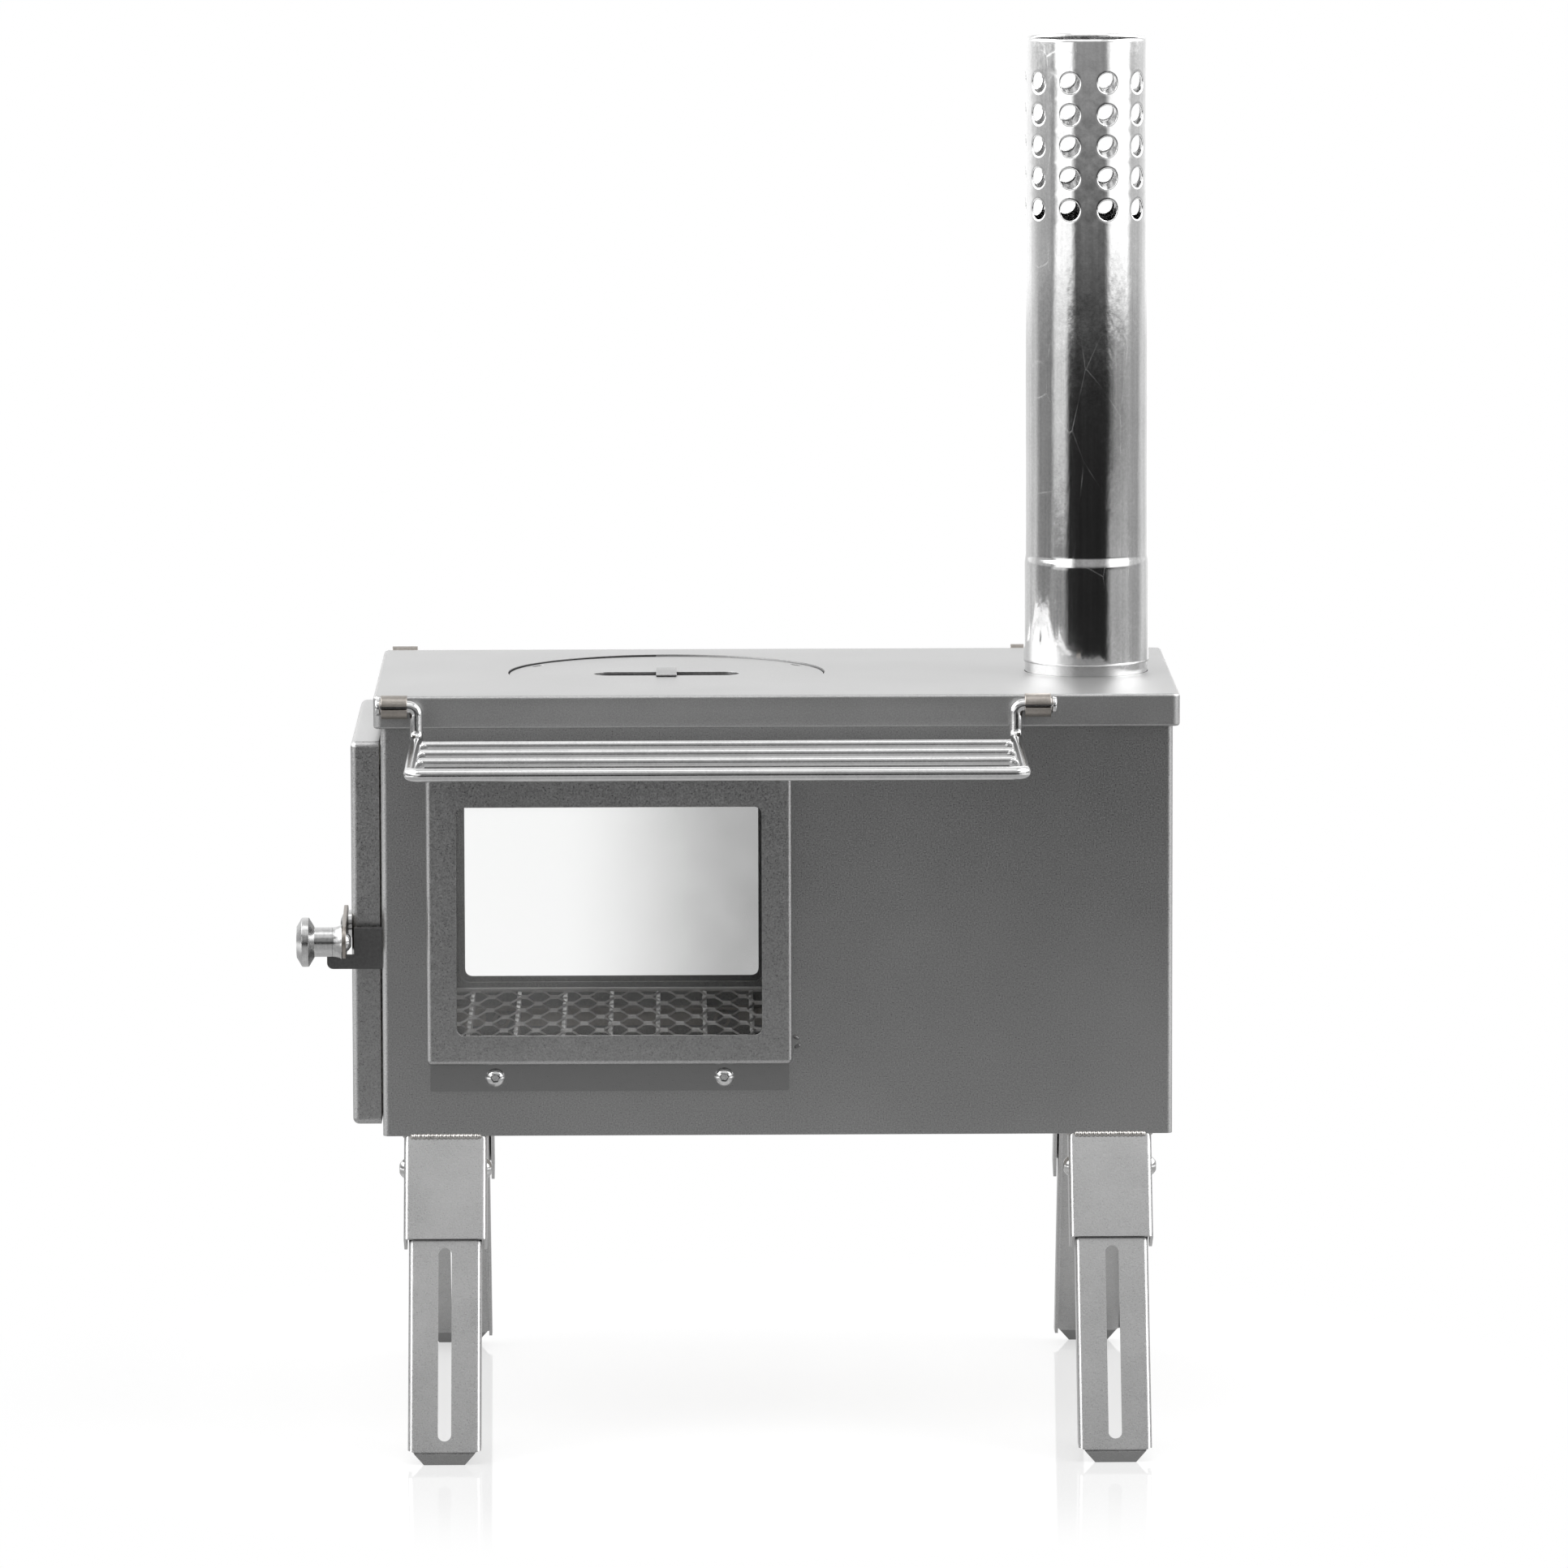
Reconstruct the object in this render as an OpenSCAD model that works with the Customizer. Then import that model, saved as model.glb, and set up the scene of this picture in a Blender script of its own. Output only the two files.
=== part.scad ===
// Tent wood stove: a sheet-steel firebox on four folding legs, with a window in
// each long side, a latched end door with an air damper, a raised grate, a
// lift-out cooking disc, a lift-off flue section and two swing-over side racks.
// Millimetres. X runs from the door end to the flue end, Y from the front window
// to the rear window, and Z up from the floor under the feet.

/* [Firebox] */
// Length of the firebox, door end to flue end
body_l = 381; // [370:1:440]
// Depth of the firebox, front wall to rear wall
body_w = 200; // [190:1:240]
// Height of the firebox walls
wall_h = 212.5; // [205:0.5:240]
// Thickness of the wall sheet
wall_t = 1.2; // [0.8:0.1:1.6]
// Outer radius of the upright corner bends
corner_r = 3; // [2:0.5:5]
// Width of the flanges that the long walls fold back along the ends
wall_flange = 12; // [10:1:14]

/* [Top plate] */
// Thickness of the top plate
plate_t = 1.5; // [1:0.1:2]
// Overhang of the top plate past the walls
plate_over = 3.3; // [3.2:0.1:5]
// Height of the top plate's skirt
skirt_h = 15.8; // [13:0.1:20]
// Thickness of the skirt and of its hem
skirt_t = 1.2; // [0.8:0.1:1.4]
// Height of the hem that is folded up inside the skirt
hem_h = 6; // [4:0.5:8]
// Outer radius of the plate's long edge bends
plate_bend_r = 3; // [2.5:0.5:4]
// Radius of the plate's corners in plan
plate_corner_r = 4; // [3:0.5:8]

/* [Cooking disc] */
// Width of plate left beside the lift-out cooking disc, inside the walls
disc_margin = 23; // [22:1:40]
// Gap round the disc in the top plate
disc_gap = 0.5; // [0.3:0.1:1]
// Depth of the disc's face below the plate's
disc_sunk = 0.9; // [0.4:0.1:1.2]
// Distance of the disc's centre from the door end
disc_inset = 137.5; // [120:0.5:150]
// Length of each support tab under the plate
tab_l = 14; // [12:1:18]
// Width of each support tab
tab_w = 10; // [8:1:14]
// Thickness of the support tabs
tab_t = 1.2; // [1:0.1:2]
// How far each tab reaches in under the disc
tab_reach = 5; // [3:0.5:7]
// Half the length of the lens-shaped lifter pocket
pocket_half_l = 35.5; // [28:0.5:40]
// Half the width of the lifter pocket
pocket_half_w = 9.2; // [7:0.2:12]
// Depth of the pocket below the disc's face
pocket_d = 8; // [7:0.5:12]
// Thickness of the pocket's walls
pocket_t = 1.2; // [0.8:0.1:1.6]
// Width of the lifting bridge over the pocket
bridge_w = 10; // [8:0.5:14]
// Inner span of the lifting bridge
bridge_l = 23; // [20:0.5:30]
// Rise of the bridge above the disc
bridge_rise = 2.2; // [1.5:0.1:4]
// Thickness of the bridge
bridge_t = 1.2; // [0.8:0.1:1.8]
// Length of the three locating slits near the disc's edge
slit_l = 7; // [5:0.5:9]
// Width of the locating slits
slit_w = 1; // [0.8:0.1:1.5]
// Distance of the slits from the disc's edge
slit_edge = 2.5; // [2:0.5:4]

/* [Flue] */
// Outer radius of the flue pipe
flue_r = 30; // [28:0.5:33]
// Wall thickness of the pipe
pipe_t = 0.5; // [0.4:0.1:0.8]
// Length of the flue section
pipe_l = 305; // [250:1:400]
// Length of the widened socket at the pipe's foot
socket_l = 47.9; // [40:0.1:60]
// Length of the cone between socket and pipe
shoulder_l = 5; // [4:0.5:8]
// Gap all round between collar and socket
socket_fit = 0.08; // [0.04:0.01:0.1]
// How much smaller the collar is than the pipe, in radius
collar_less = 0.05; // [0.02:0.01:0.1]
// Wall thickness of the collar
collar_t = 1; // [0.8:0.1:1.5]
// Length of collar that shows under the pipe
collar_show = 5; // [3:0.5:8]
// Width of the collar's flange under the plate
collar_flange = 5; // [3:0.5:5]
// Distance of the flue's centre from the flue end
flue_inset = 38; // [38:0.5:44]
// Radius of the spark-arrestor holes
hole_r = 5; // [4:0.25:6]
// Rows of holes
hole_rows = 5; // [3:1:7]
// Holes in a row
hole_columns = 10; // [8:1:12]
// Height from one row to the next
hole_pitch = 15.4; // [14:0.2:18]
// Distance of the first row from the pipe's top
hole_top = 21.2; // [18:0.2:30]

/* [Windows] */
// Length of the window opening
win_l = 147; // [130:1:152]
// Height of the opening above the firebox's bottom edge
win_z = 49.4; // [47:0.2:52]
// Distance of the opening's upper edge from the top of the walls
win_top = 52.3; // [44:0.1:60]
// Distance of the window's centre from the door end
win_inset = 109.5; // [107:0.5:130]
// Width of the frame's border round the opening
frame_border = 14.5; // [13:0.5:16]
// How far the frame stands out from the wall
frame_d = 5; // [4.4:0.1:6]
// Thickness of the frame sheet
frame_t = 1.2; // [0.8:0.1:1.4]
// Outer radius of the frame's edge bends
frame_bend_r = 2.4; // [2:0.2:3]
// Height of the screwed strip below the frame
strip_h = 13; // [12:0.5:16]
// How much the strip is set in at each side
strip_inset = 1.5; // [1:0.5:3]
// Corner radius of the opening in the frame
win_corner_r = 3.5; // [2:0.5:6]
// How far the wall's opening clears the frame's opening
win_margin = 2.5; // [1.5:0.5:3]
// Thickness of the gasket behind the glass
gasket_t = 0.8; // [0.5:0.1:1.2]
// How far the glass laps over the opening
glass_lap = 9; // [7:0.5:11]
// Distance between the two strip screws
screw_gap = 110.4; // [90:0.2:130]

/* [Screws] */
// Radius of the screw shanks
screw_r = 2.5; // [2:0.1:2.6]
// Radius of the button heads
head_r = 4.75; // [4.2:0.05:5]
// Height of the button heads
head_h = 2.75; // [2.2:0.05:3]
// Width across the flats of the hexagon socket
hex_af = 3; // [2.5:0.1:3.5]
// Width across the flats of the nuts
nut_af = 8; // [7:0.5:9]
// Thickness of the nuts
nut_t = 4; // [3:0.5:5]

/* [Door] */
// Width of firebox end left uncovered at each side of the door
door_side = 9; // [8.9:0.1:10]
// Height of the door's lower edge above the firebox's bottom edge
door_low = 4.4; // [3:0.2:8]
// Distance of the door's upper edge from the top of the walls
door_top = 21.7; // [19:0.1:26]
// Depth of the door's folded pan
door_d = 13.7; // [13:0.1:16]
// Thickness of the door sheet
door_t = 1.2; // [1:0.1:1.4]
// Running gap between the door's rim and the firebox end
door_gap = 1; // [0.8:0.1:1.4]
// Outer radius of the pan's bends
door_bend_r = 3; // [2.5:0.5:4]
// Width of wall left at each side of the door opening
mouth_side = 33; // [31.5:0.5:45]
// Height of wall left above the door opening
mouth_top = 42.5; // [40:0.5:60]
// Height of the opening's sill above the firebox's bottom edge
mouth_z = 24; // [22:0.5:27]
// Corner radius of the door opening
mouth_r = 8; // [4:1:14]
// Width of the rope seal round the opening
rope_w = 8; // [6:0.5:9]
// Distance of the door liner from the firebox end
liner_z = 5.5; // [5:0.1:6]
// Thickness of the liner
liner_t = 1.2; // [0.8:0.1:1.4]
// How far the liner laps past the rope seal
liner_lap = 3; // [2:0.5:3.5]
// Radius of the liner's air holes
liner_hole_r = 4; // [3:0.5:5]
// Number of air holes in the liner
liner_holes = 6; // [4:1:6]
// Radius of the studs that carry the liner
stud_r = 3; // [2:0.5:3.5]

/* [Door hinges] */
// Radius of the hinge knuckles
knuckle_r = 3.5; // [3.2:0.1:3.6]
// Length of one knuckle
knuckle_l = 12; // [9:0.5:16]
// Radius of the hinge pins
pin_r = 1.75; // [1.5:0.05:2]
// Gap between the door's side and the knuckles
knuckle_gap = 1.2; // [1:0.1:1.4]
// Distance of the hinge line from the firebox end
knuckle_out = 4.7; // [4.5:0.1:5]
// Height of the lower hinge above the firebox's bottom edge
hinge_low = 45; // [40:1:60]
// Distance of the upper hinge from the top of the walls
hinge_top = 62.5; // [52:0.5:90]

/* [Latch] */
// Distance of the latch pivot in from the front wall
latch_in = 28; // [24:0.5:34]
// Height of the latch pivot above the firebox's bottom edge
latch_z = 100; // [92:0.5:110]
// Distance of the knob's axis out from the front wall
knob_out = 6; // [5.6:0.2:12]
// Height of the knob's axis above the firebox's bottom edge
knob_z = 95.6; // [90:0.2:98]
// Radius of the lever round its pivot
lever_r = 9; // [8:0.5:11]
// Radius of the lever round the knob
lever_end_r = 8; // [7:0.5:9]
// Thickness of the lever
lever_t = 2; // [1.5:0.1:3]
// Thickness of the washer between door and lever
washer_t = 2; // [1.5:0.1:3]
// Radius of the pivot rivet's shank
rivet_r = 3; // [2.5:0.1:3.5]
// Radius of the pivot rivet's heads
rivet_head_r = 5.2; // [4.5:0.1:6]
// Height of the pivot rivet's heads
rivet_head_h = 1.6; // [1:0.1:2]
// Radius of the knob's shaft
knob_shaft_r = 7.15; // [6:0.05:8]
// Radius of the knob's foot
knob_foot_r = 8.4; // [8.2:0.1:9]
// Radius of the knob's end faces
knob_face_r = 7.75; // [7.2:0.05:8.5]
// Largest radius of the knob's head
knob_head_r = 11.9; // [10:0.1:14]
// Length of the knob's flared foot
knob_foot_l = 4.1; // [3:0.1:6]
// Length of the knob's shaft
knob_shaft_l = 9.3; // [8:0.1:14]
// Length of each of the head's two cones
knob_cone_l = 2.7; // [2:0.1:4]
// Width of the head's rim
knob_rim_l = 3; // [2:0.1:5]
// Thickness of the catch plate
catch_t = 2; // [1.5:0.1:2.4]
// Distance of the catch's outer face in from the front wall
catch_in = 3; // [2.8:0.1:3.4]
// Height of the catch's lower edge above the firebox's bottom edge
catch_low = 81.2; // [76:0.2:83]
// Height of the catch's upper edge
catch_high = 101.2; // [96:0.2:106]
// How far the catch plate reaches out beside the door
catch_out = 13.5; // [12:0.1:14]
// How far the catch's lip reaches out under the lever
lip_out = 26.5; // [22:0.5:28]

/* [Air damper] */
// Width of each air vent
vent_w = 8; // [6:0.5:9]
// Height of each air vent
vent_h = 22; // [16:1:26]
// Plain end of the row of vents, as a share of their spacing
vent_end_share = 0.667; // [0.5:0.001:0.9]
// Number of vents
vent_count = 4; // [3:1:4]
// Height of the vents' middle above the firebox's bottom edge
vent_z = 30; // [28:0.5:32]
// Height of the damper's grip screw above the firebox's bottom edge
grip_z = 54; // [50:0.5:56]
// Thickness of the damper plate
damper_t = 1; // [0.8:0.1:1.4]
// Height of the damper plate
damper_h = 50; // [46:0.5:52]
// Distance of the damper plate's ends from the door's sides
damper_side = 35; // [33:0.5:37]
// Travel of the damper from open to shut
damper_travel = 12; // [10:0.5:14]
// Thickness of the damper's guide rails
rail_t = 1; // [0.8:0.1:1.2]
// Distance of the guide rails' ends from the door's sides
rail_side = 22; // [20:0.5:26]

/* [Grate] */
// Height of the grate's top above the firebox's bottom edge
grate_z = 44.5; // [42:0.5:46]
// Thickness of the expanded mesh
mesh_t = 1.5; // [1:0.1:2]
// Distance between mesh openings along X
mesh_x = 15.6; // [14:0.2:18]
// Distance between mesh openings along Y
mesh_y = 46; // [40:1:52]
// Width of the mesh strands
strand_w = 2.4; // [1.8:0.1:3]
// Plain border round the mesh
mesh_border = 3; // [2:0.5:6]
// Gap between mesh and walls
mesh_gap = 2; // [1:0.5:4]
// Distance from one grate bar to the next
bar_pitch = 23.1; // [20:0.1:28]
// Thickness of a grate bar
bar_t = 2; // [1.5:0.1:3]
// Height of a grate bar
bar_h = 8; // [6:0.5:10]
// Width of the ledges that carry the bars
ledge_w = 10; // [8:0.5:14]
// Gap between the bars' ends and the walls
bar_gap = 3; // [2:0.5:4]

/* [Legs] */
// Angle that an open leg leans out from upright
splay = 27; // [20:1:32]
// Length of a leg from its pivot to the bend of its foot
leg_l = 144.86; // [120:0.02:160]
// Width of a leg
leg_w = 35; // [30:0.5:35.6]
// Depth of a leg's channel
leg_d = 16; // [14:0.5:16]
// Thickness of the leg and bracket sheet
leg_t = 1.5; // [1:0.1:2]
// Outer radius of the channel bends
leg_bend_r = 2.6; // [2.2:0.1:3.4]
// Width of the bracket round the leg
bracket_w = 40; // [39.6:0.5:44]
// Depth of the bracket's side flanges
bracket_d = 20; // [19:0.5:22]
// Length of the bracket's web
bracket_l = 52; // [46:0.5:60]
// Gap between the leg's web and the bracket's web
leg_gap = 0.3; // [0.3:0.1:0.6]
// Distance of the pivot from the bracket's upper edge
pivot_drop = 13.2; // [12.5:0.1:16]
// Distance of each leg's middle from the firebox's end
leg_inset = 30.1; // [28:0.5:40]
// Width of the slot in the leg
slot_w = 6.4; // [5:0.2:9]
// Length of the slot
slot_l = 97.2; // [70:0.2:98]
// Distance of the slot's lower end from the foot's bend
slot_low = 5.2; // [5:0.1:10]
// Inner radius of the foot's bend
foot_bend_r = 1.5; // [1.2:0.1:2.5]
// Length of the foot from its bend
foot_l = 5; // [4:0.5:8]
// Width of the foot at its bend
foot_w = 29.4; // [24:0.2:31]
// Width of the foot at its tip
foot_tip_w = 19.6; // [14:0.2:22]

/* [Side racks] */
// Radius of the rack frame's rod
rod_r = 3.15; // [2.8:0.05:3.4]
// Radius of the rack's cross rods
cross_r = 2.25; // [1.8:0.05:2.6]
// Distance of the outer bar from the hinge line
rack_reach = 132; // [110:1:140]
// Drop of the rack below its hinge line
rack_drop = 17; // [15:0.5:20]
// Distance of the rack's arm from the door end
rack_inset = 17.6; // [17.5:0.1:22]
// Gap between the rack's arm and the flue
rack_flue_gap = 4.25; // [3:0.25:8]
// Distance of the first cross rod from the hinge line
cross_first = 22; // [18:1:26]
// Distance from one cross rod to the next
cross_pitch = 34; // [28:1:34]
// Number of cross rods
cross_count = 3; // [2:1:3]
// Bend radius of the rod where it enters its barrel
arm_bend_r = 4.1; // [4:0.1:5]
// Bend radius of the rack's lower and outer corners
rack_corner_r = 6; // [5:0.5:8]
// Outer radius of the hinge barrels
barrel_r = 5.75; // [5.2:0.05:6.5]
// Length of a hinge barrel
barrel_l = 12.5; // [10:0.5:13]
// Width of the slit along the barrel
barrel_slit = 1.8; // [1:0.1:2.4]
// Distance of the hinge line below the top plate's face
barrel_drop = 4.6; // [4:0.1:6]
// Radius of the upset rod ends
upset_r = 4; // [3.6:0.1:5]
// Length of the upset rod ends
upset_l = 2.5; // [2:0.1:3]

/* [Hidden] */
$fn = 48;
// Running gap of parts that slide or turn on each other
slip = 0.3;
// Radial gap of a shaft that turns in its hole
turn = 0.05;
// Radial gap of a shaft that is fixed in its hole
fixed = 0.02;
// How far cutting shapes overrun what they cut
over = 1;
// How far joined shapes run into each other where they meet at a tangent
tuck = 0.05;
// How much less a tangent bend is than the flat sheet it joins, on each side
step = 0.02;

half_l = body_l / 2;
half_w = body_w / 2;

// Leg geometry: the foot's lower edge is at Z = 0 and the pivot height follows from it
leg_half = leg_d / 2;
foot_r = foot_bend_r + leg_t;
pivot_z = foot_l + leg_l * cos(splay) + (foot_r - leg_half) * sin(splay);
pivot_in = leg_half + leg_gap + leg_t;
body_z = pivot_z + pivot_drop * cos(splay) + pivot_in * sin(splay);
pivot_y = half_w + pivot_drop * sin(splay) - pivot_in * cos(splay);
leg_x = half_l - leg_inset;

plate_under = body_z + wall_h;
plate_top = plate_under + plate_t;
plate_l = body_l + 2 * plate_over;
plate_w = body_w + 2 * plate_over;

disc_r = half_w - disc_margin;
disc_x = disc_inset - half_l;
flue_x = half_l - flue_inset;
collar_r = flue_r - collar_less;
socket_in = collar_r + socket_fit;
socket_r = socket_in + pipe_t;
pipe_z = plate_top + collar_show;
lens_r = (pocket_half_l * pocket_half_l + pocket_half_w * pocket_half_w) / (2 * pocket_half_w);

win_x = win_inset - half_l;
win_h = wall_h - win_z - win_top;
frame_l = win_l + 2 * frame_border;
frame_h = win_h + 2 * frame_border;
frame_low = win_z - frame_border;
glass_t = frame_d - frame_t - gasket_t;
screw_z = frame_low - strip_h / 2;

door_w = body_w - 2 * door_side;
door_h = wall_h - door_low - door_top;
door_face = door_gap + door_d;
door_inner = door_face - door_t;
mouth_w = body_w - 2 * mouth_side;
mouth_h = wall_h - mouth_z - mouth_top;
liner_w = mouth_w + 2 * (rope_w + liner_lap);
liner_h = mouth_h + 2 * (rope_w + liner_lap);
liner_mid = mouth_z + mouth_h / 2;
stud_y = liner_w / 2 - stud_r;
stud_inset = liner_h / 2 - 2 * stud_r;
liner_hole_z = mouth_z + 3 * liner_hole_r;
liner_hole_pitch = mouth_w / (liner_holes + 1);
hinge_high = wall_h - hinge_top;
hinge_y = door_w / 2 + knuckle_gap + knuckle_r;
knuckle_pitch = knuckle_l + slip;
pin_head_r = pin_r * 1.5;
pin_head_h = pin_r * 0.9;

lever_in = door_face + washer_t + slip / 2;
lever_out = lever_in + lever_t;
latch_y = half_w - latch_in;
knob_y = half_w + knob_out;
catch_y = half_w - catch_in;
knob_dy = knob_y - latch_y;
knob_dz = latch_z - knob_z;
lever_span = sqrt(knob_dy * knob_dy + knob_dz * knob_dz);
knob_l = knob_foot_l + knob_shaft_l + 2 * knob_cone_l + knob_rim_l;
catch_share = (catch_y - latch_y) / knob_dy;
lever_r_at_catch = lever_r - catch_share * (lever_r - lever_end_r);
lever_low = latch_z - catch_share * knob_dz - lever_r_at_catch * lever_span / knob_dy;
lip_z = lever_low - slip;

damper_l = door_w - 2 * damper_side;
rail_l = door_w - 2 * rail_side;
vent_pitch = damper_l / (vent_count + vent_end_share);
damper_low = vent_z + vent_h / 2 - damper_h / 2 + 2 * rail_t;
damper_out = door_inner - slip;
damper_in = damper_out - damper_t;
rail_lap = 3 * rail_t;

mesh_l = body_l - 4 * wall_t - 2 * mesh_gap;
mesh_w = body_w - 2 * wall_t - 2 * mesh_gap;
mesh_half_x = mesh_x / 2 - strand_w / 2;
mesh_half_y = mesh_y / 2 - 2 * strand_w;
mesh_columns = floor((mesh_l - 2 * mesh_border - 2 * mesh_half_x) / mesh_x);
mesh_rows = floor((mesh_w - 2 * mesh_border - 2 * mesh_half_y) / mesh_y);
bar_count = floor(mesh_l / bar_pitch);
bar_w = body_w - 2 * wall_t - 2 * bar_gap;
bar_z = grate_z - mesh_t - bar_h;

hinge_line_y = half_w + plate_over + barrel_r;
hinge_line_z = plate_top - barrel_drop;
rack_left = rack_inset - half_l;
rack_right = flue_x - socket_r - rack_flue_gap - rod_r;
rack_half = (rack_right - rack_left) / 2;
rack_x = (rack_right + rack_left) / 2;

// The frame's origin is midway between the knob's tip and the plate's far edge
reach_left = half_l + lever_out + knob_l;
reach_right = half_l + plate_over;
middle_x = (reach_left - reach_right) / 2;

sheet = "dimgray";
bright = "silver";
polished = "gainsboro";
iron = "gray";

// Placing helpers

module placed() {
    translate([middle_x, 0, 0]) children();
}

module to_rear() {
    mirror([0, 1, 0]) children();
}

// Wall-mounted things: x along the wall, y up from the bottom edge, z outwards
module on_front_window() {
    translate([win_x, -half_w, body_z]) rotate([90, 0, 0]) children();
}

// Door things: x up from the bottom edge, y along the end, z outwards
module on_door_end() {
    translate([-half_l, 0, body_z]) rotate([0, -90, 0]) children();
}

// Leg things at the pivot: z up along the leg, -y outwards, x across
module at_leg(side) {
    translate([side * leg_x, -pivot_y, pivot_z]) rotate([-splay, 0, 0]) children();
}

// Shared shapes

module round_rect(l, w, r) {
    square([l - 2 * r, w], center = true);
    square([l, w - 2 * r], center = true);
    for (sx = [-1, 1], sy = [-1, 1])
        translate([sx * (l / 2 - r), sy * (w / 2 - r)]) circle(r);
}

module slot_shape(l, w) {
    square([l - w, w], center = true);
    for (side = [-1, 1]) translate([side * (l - w) / 2, 0]) circle(w / 2);
}

module arch(w, h, r) {
    translate([-w / 2, 0]) square([w, h - r]);
    translate([r - w / 2, 0]) square([w - 2 * r, h]);
    for (side = [-1, 1]) translate([side * (w / 2 - r), h - r]) circle(r);
}

// Block with rounded upright corners and rounded upper edges
module pan_block(l, w, h, bend, corner) {
    intersection() {
        linear_extrude(h) round_rect(l, w, corner);
        rotate([90, 0, 0]) linear_extrude(w + over, center = true) arch(l, h, bend);
        rotate([90, 0, 90]) linear_extrude(l + over, center = true) arch(w, h, bend);
    }
}

// Folded sheet pan, open below
module pan(l, w, h, side_t, face_t, bend, corner) {
    difference() {
        pan_block(l, w, h, bend, corner);
        translate([0, 0, -over])
            pan_block(l - 2 * side_t, w - 2 * side_t, h - face_t + over,
                bend - side_t, corner - side_t);
    }
}

module ring_plate(l, w, r, border, t) {
    linear_extrude(t) difference() {
        round_rect(l, w, r);
        round_rect(l - 2 * border, w - 2 * border, r);
    }
}

module dome(r, h) {
    ball = (r * r + h * h) / (2 * h);
    intersection() {
        cylinder(r = r, h = h);
        translate([0, 0, h - ball]) sphere(ball);
    }
}

// Button-head screw along -z, its head's seat at z = 0
module button_screw(shank_l) {
    hex_r = hex_af / 2 / cos(30);
    difference() {
        dome(head_r, head_h);
        translate([0, 0, head_h * 0.4]) cylinder(r = hex_r, h = head_h, $fn = 6);
    }
    translate([0, 0, -shank_l]) cylinder(r = screw_r, h = shank_l);
}

// Straight rod between two points
module rod(from, to, r) {
    run = to - from;
    len = norm(run);
    translate(from) rotate([0, acos(run.z / len), atan2(run.y, run.x)]) cylinder(r = r, h = len);
}

// Quarter bend of a rod in the XY plane, from +X to +Y
module elbow(bend, r) {
    rotate_extrude(angle = 90) translate([bend, 0]) circle(r);
}

// Firebox

// The long walls: a sheet whose ends fold back along the firebox's ends
module long_wall() {
    difference() {
        translate([0, 0, body_z]) linear_extrude(wall_h) difference() {
            round_rect(body_l, body_w, corner_r);
            round_rect(body_l - 2 * wall_t, body_w - 2 * wall_t, corner_r - wall_t);
            translate([-half_l - over, wall_flange - half_w])
                square([body_l + 2 * over, body_w]);
        }
        on_front_window() {
            translate([0, win_z + win_h / 2, -wall_t - over])
                linear_extrude(wall_t + 2 * over)
                    round_rect(win_l + 2 * win_margin, win_h + 2 * win_margin, win_corner_r + 1.5);
            for (side = [-1, 1]) translate([side * screw_gap / 2, screw_z, -wall_t - over])
                cylinder(r = screw_r + fixed, h = wall_t + 2 * over);
        }
    }
}

module front_wall() {
    color(sheet) placed() long_wall();
}

module rear_wall() {
    color(sheet) placed() to_rear() long_wall();
}

// The end walls lap inside the flanges of the long walls
module end_sheet() {
    cube([wall_t, body_w - 2 * corner_r, wall_h]);
}

module door_end_wall() {
    color(sheet) placed() difference() {
        translate([wall_t - half_l, corner_r - half_w, body_z]) end_sheet();
        on_door_end() translate([liner_mid, 0, -2 * wall_t - over])
            linear_extrude(2 * wall_t + 2 * over) round_rect(mouth_h, mouth_w, mouth_r);
    }
}

module flue_end_wall() {
    color(sheet) placed() translate([half_l - 2 * wall_t, corner_r - half_w, body_z]) end_sheet();
}

module floor_pan() {
    color(sheet) placed() translate([0, 0, body_z]) linear_extrude(wall_t)
        round_rect(body_l - 4 * wall_t, body_w - 2 * wall_t, corner_r - wall_t);
}

module top_plate() {
    color(bright) placed() difference() {
        union() {
            translate([0, 0, plate_top - skirt_h])
                pan(plate_l, plate_w, skirt_h, skirt_t, plate_t, plate_bend_r, plate_corner_r);
            translate([0, 0, plate_top - skirt_h])
                ring_plate(plate_l - 2 * skirt_t, plate_w - 2 * skirt_t,
                    plate_corner_r - skirt_t, skirt_t, hem_h);
        }
        translate([disc_x, 0, plate_under - over]) cylinder(r = disc_r + disc_gap, h = plate_t + 2 * over);
        translate([flue_x, 0, plate_under - over]) cylinder(r = collar_r + slip, h = plate_t + 2 * over);
    }
}

// Cooking disc

// Three tabs welded under the plate carry the disc, stepped down by its sinking
module disc_tabs() {
    color(bright) placed() translate([disc_x, 0, plate_under - disc_sunk - tab_t])
        for (turn_angle = [30, 150, 270]) rotate([0, 0, turn_angle]) {
            translate([disc_r - tab_reach, -tab_w / 2, 0]) cube([tab_l, tab_w, tab_t]);
            translate([disc_r + 2 * disc_gap, -tab_w / 2, 0])
                cube([tab_l - tab_reach - 2 * disc_gap, tab_w, tab_t + disc_sunk]);
        }
}

module lens(grow) {
    intersection_for (side = [-1, 1])
        translate([0, side * (lens_r - pocket_half_w)]) circle(lens_r + grow, $fn = 96);
}

module cook_disc() {
    color(bright) placed() translate([disc_x, 0, plate_under - disc_sunk]) difference() {
        union() {
            cylinder(r = disc_r, h = plate_t, $fn = 96);
            translate([0, 0, plate_t - pocket_d - pocket_t])
                linear_extrude(pocket_d + pocket_t - plate_t) lens(pocket_t);
        }
        translate([0, 0, plate_t - pocket_d]) linear_extrude(pocket_d + over) lens(0);
        for (turn_angle = [30, 150, 270]) rotate([0, 0, turn_angle])
            translate([disc_r - slit_edge - slit_w, -slit_l / 2, -over])
                cube([slit_w, slit_l, plate_t + 2 * over]);
    }
}

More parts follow.
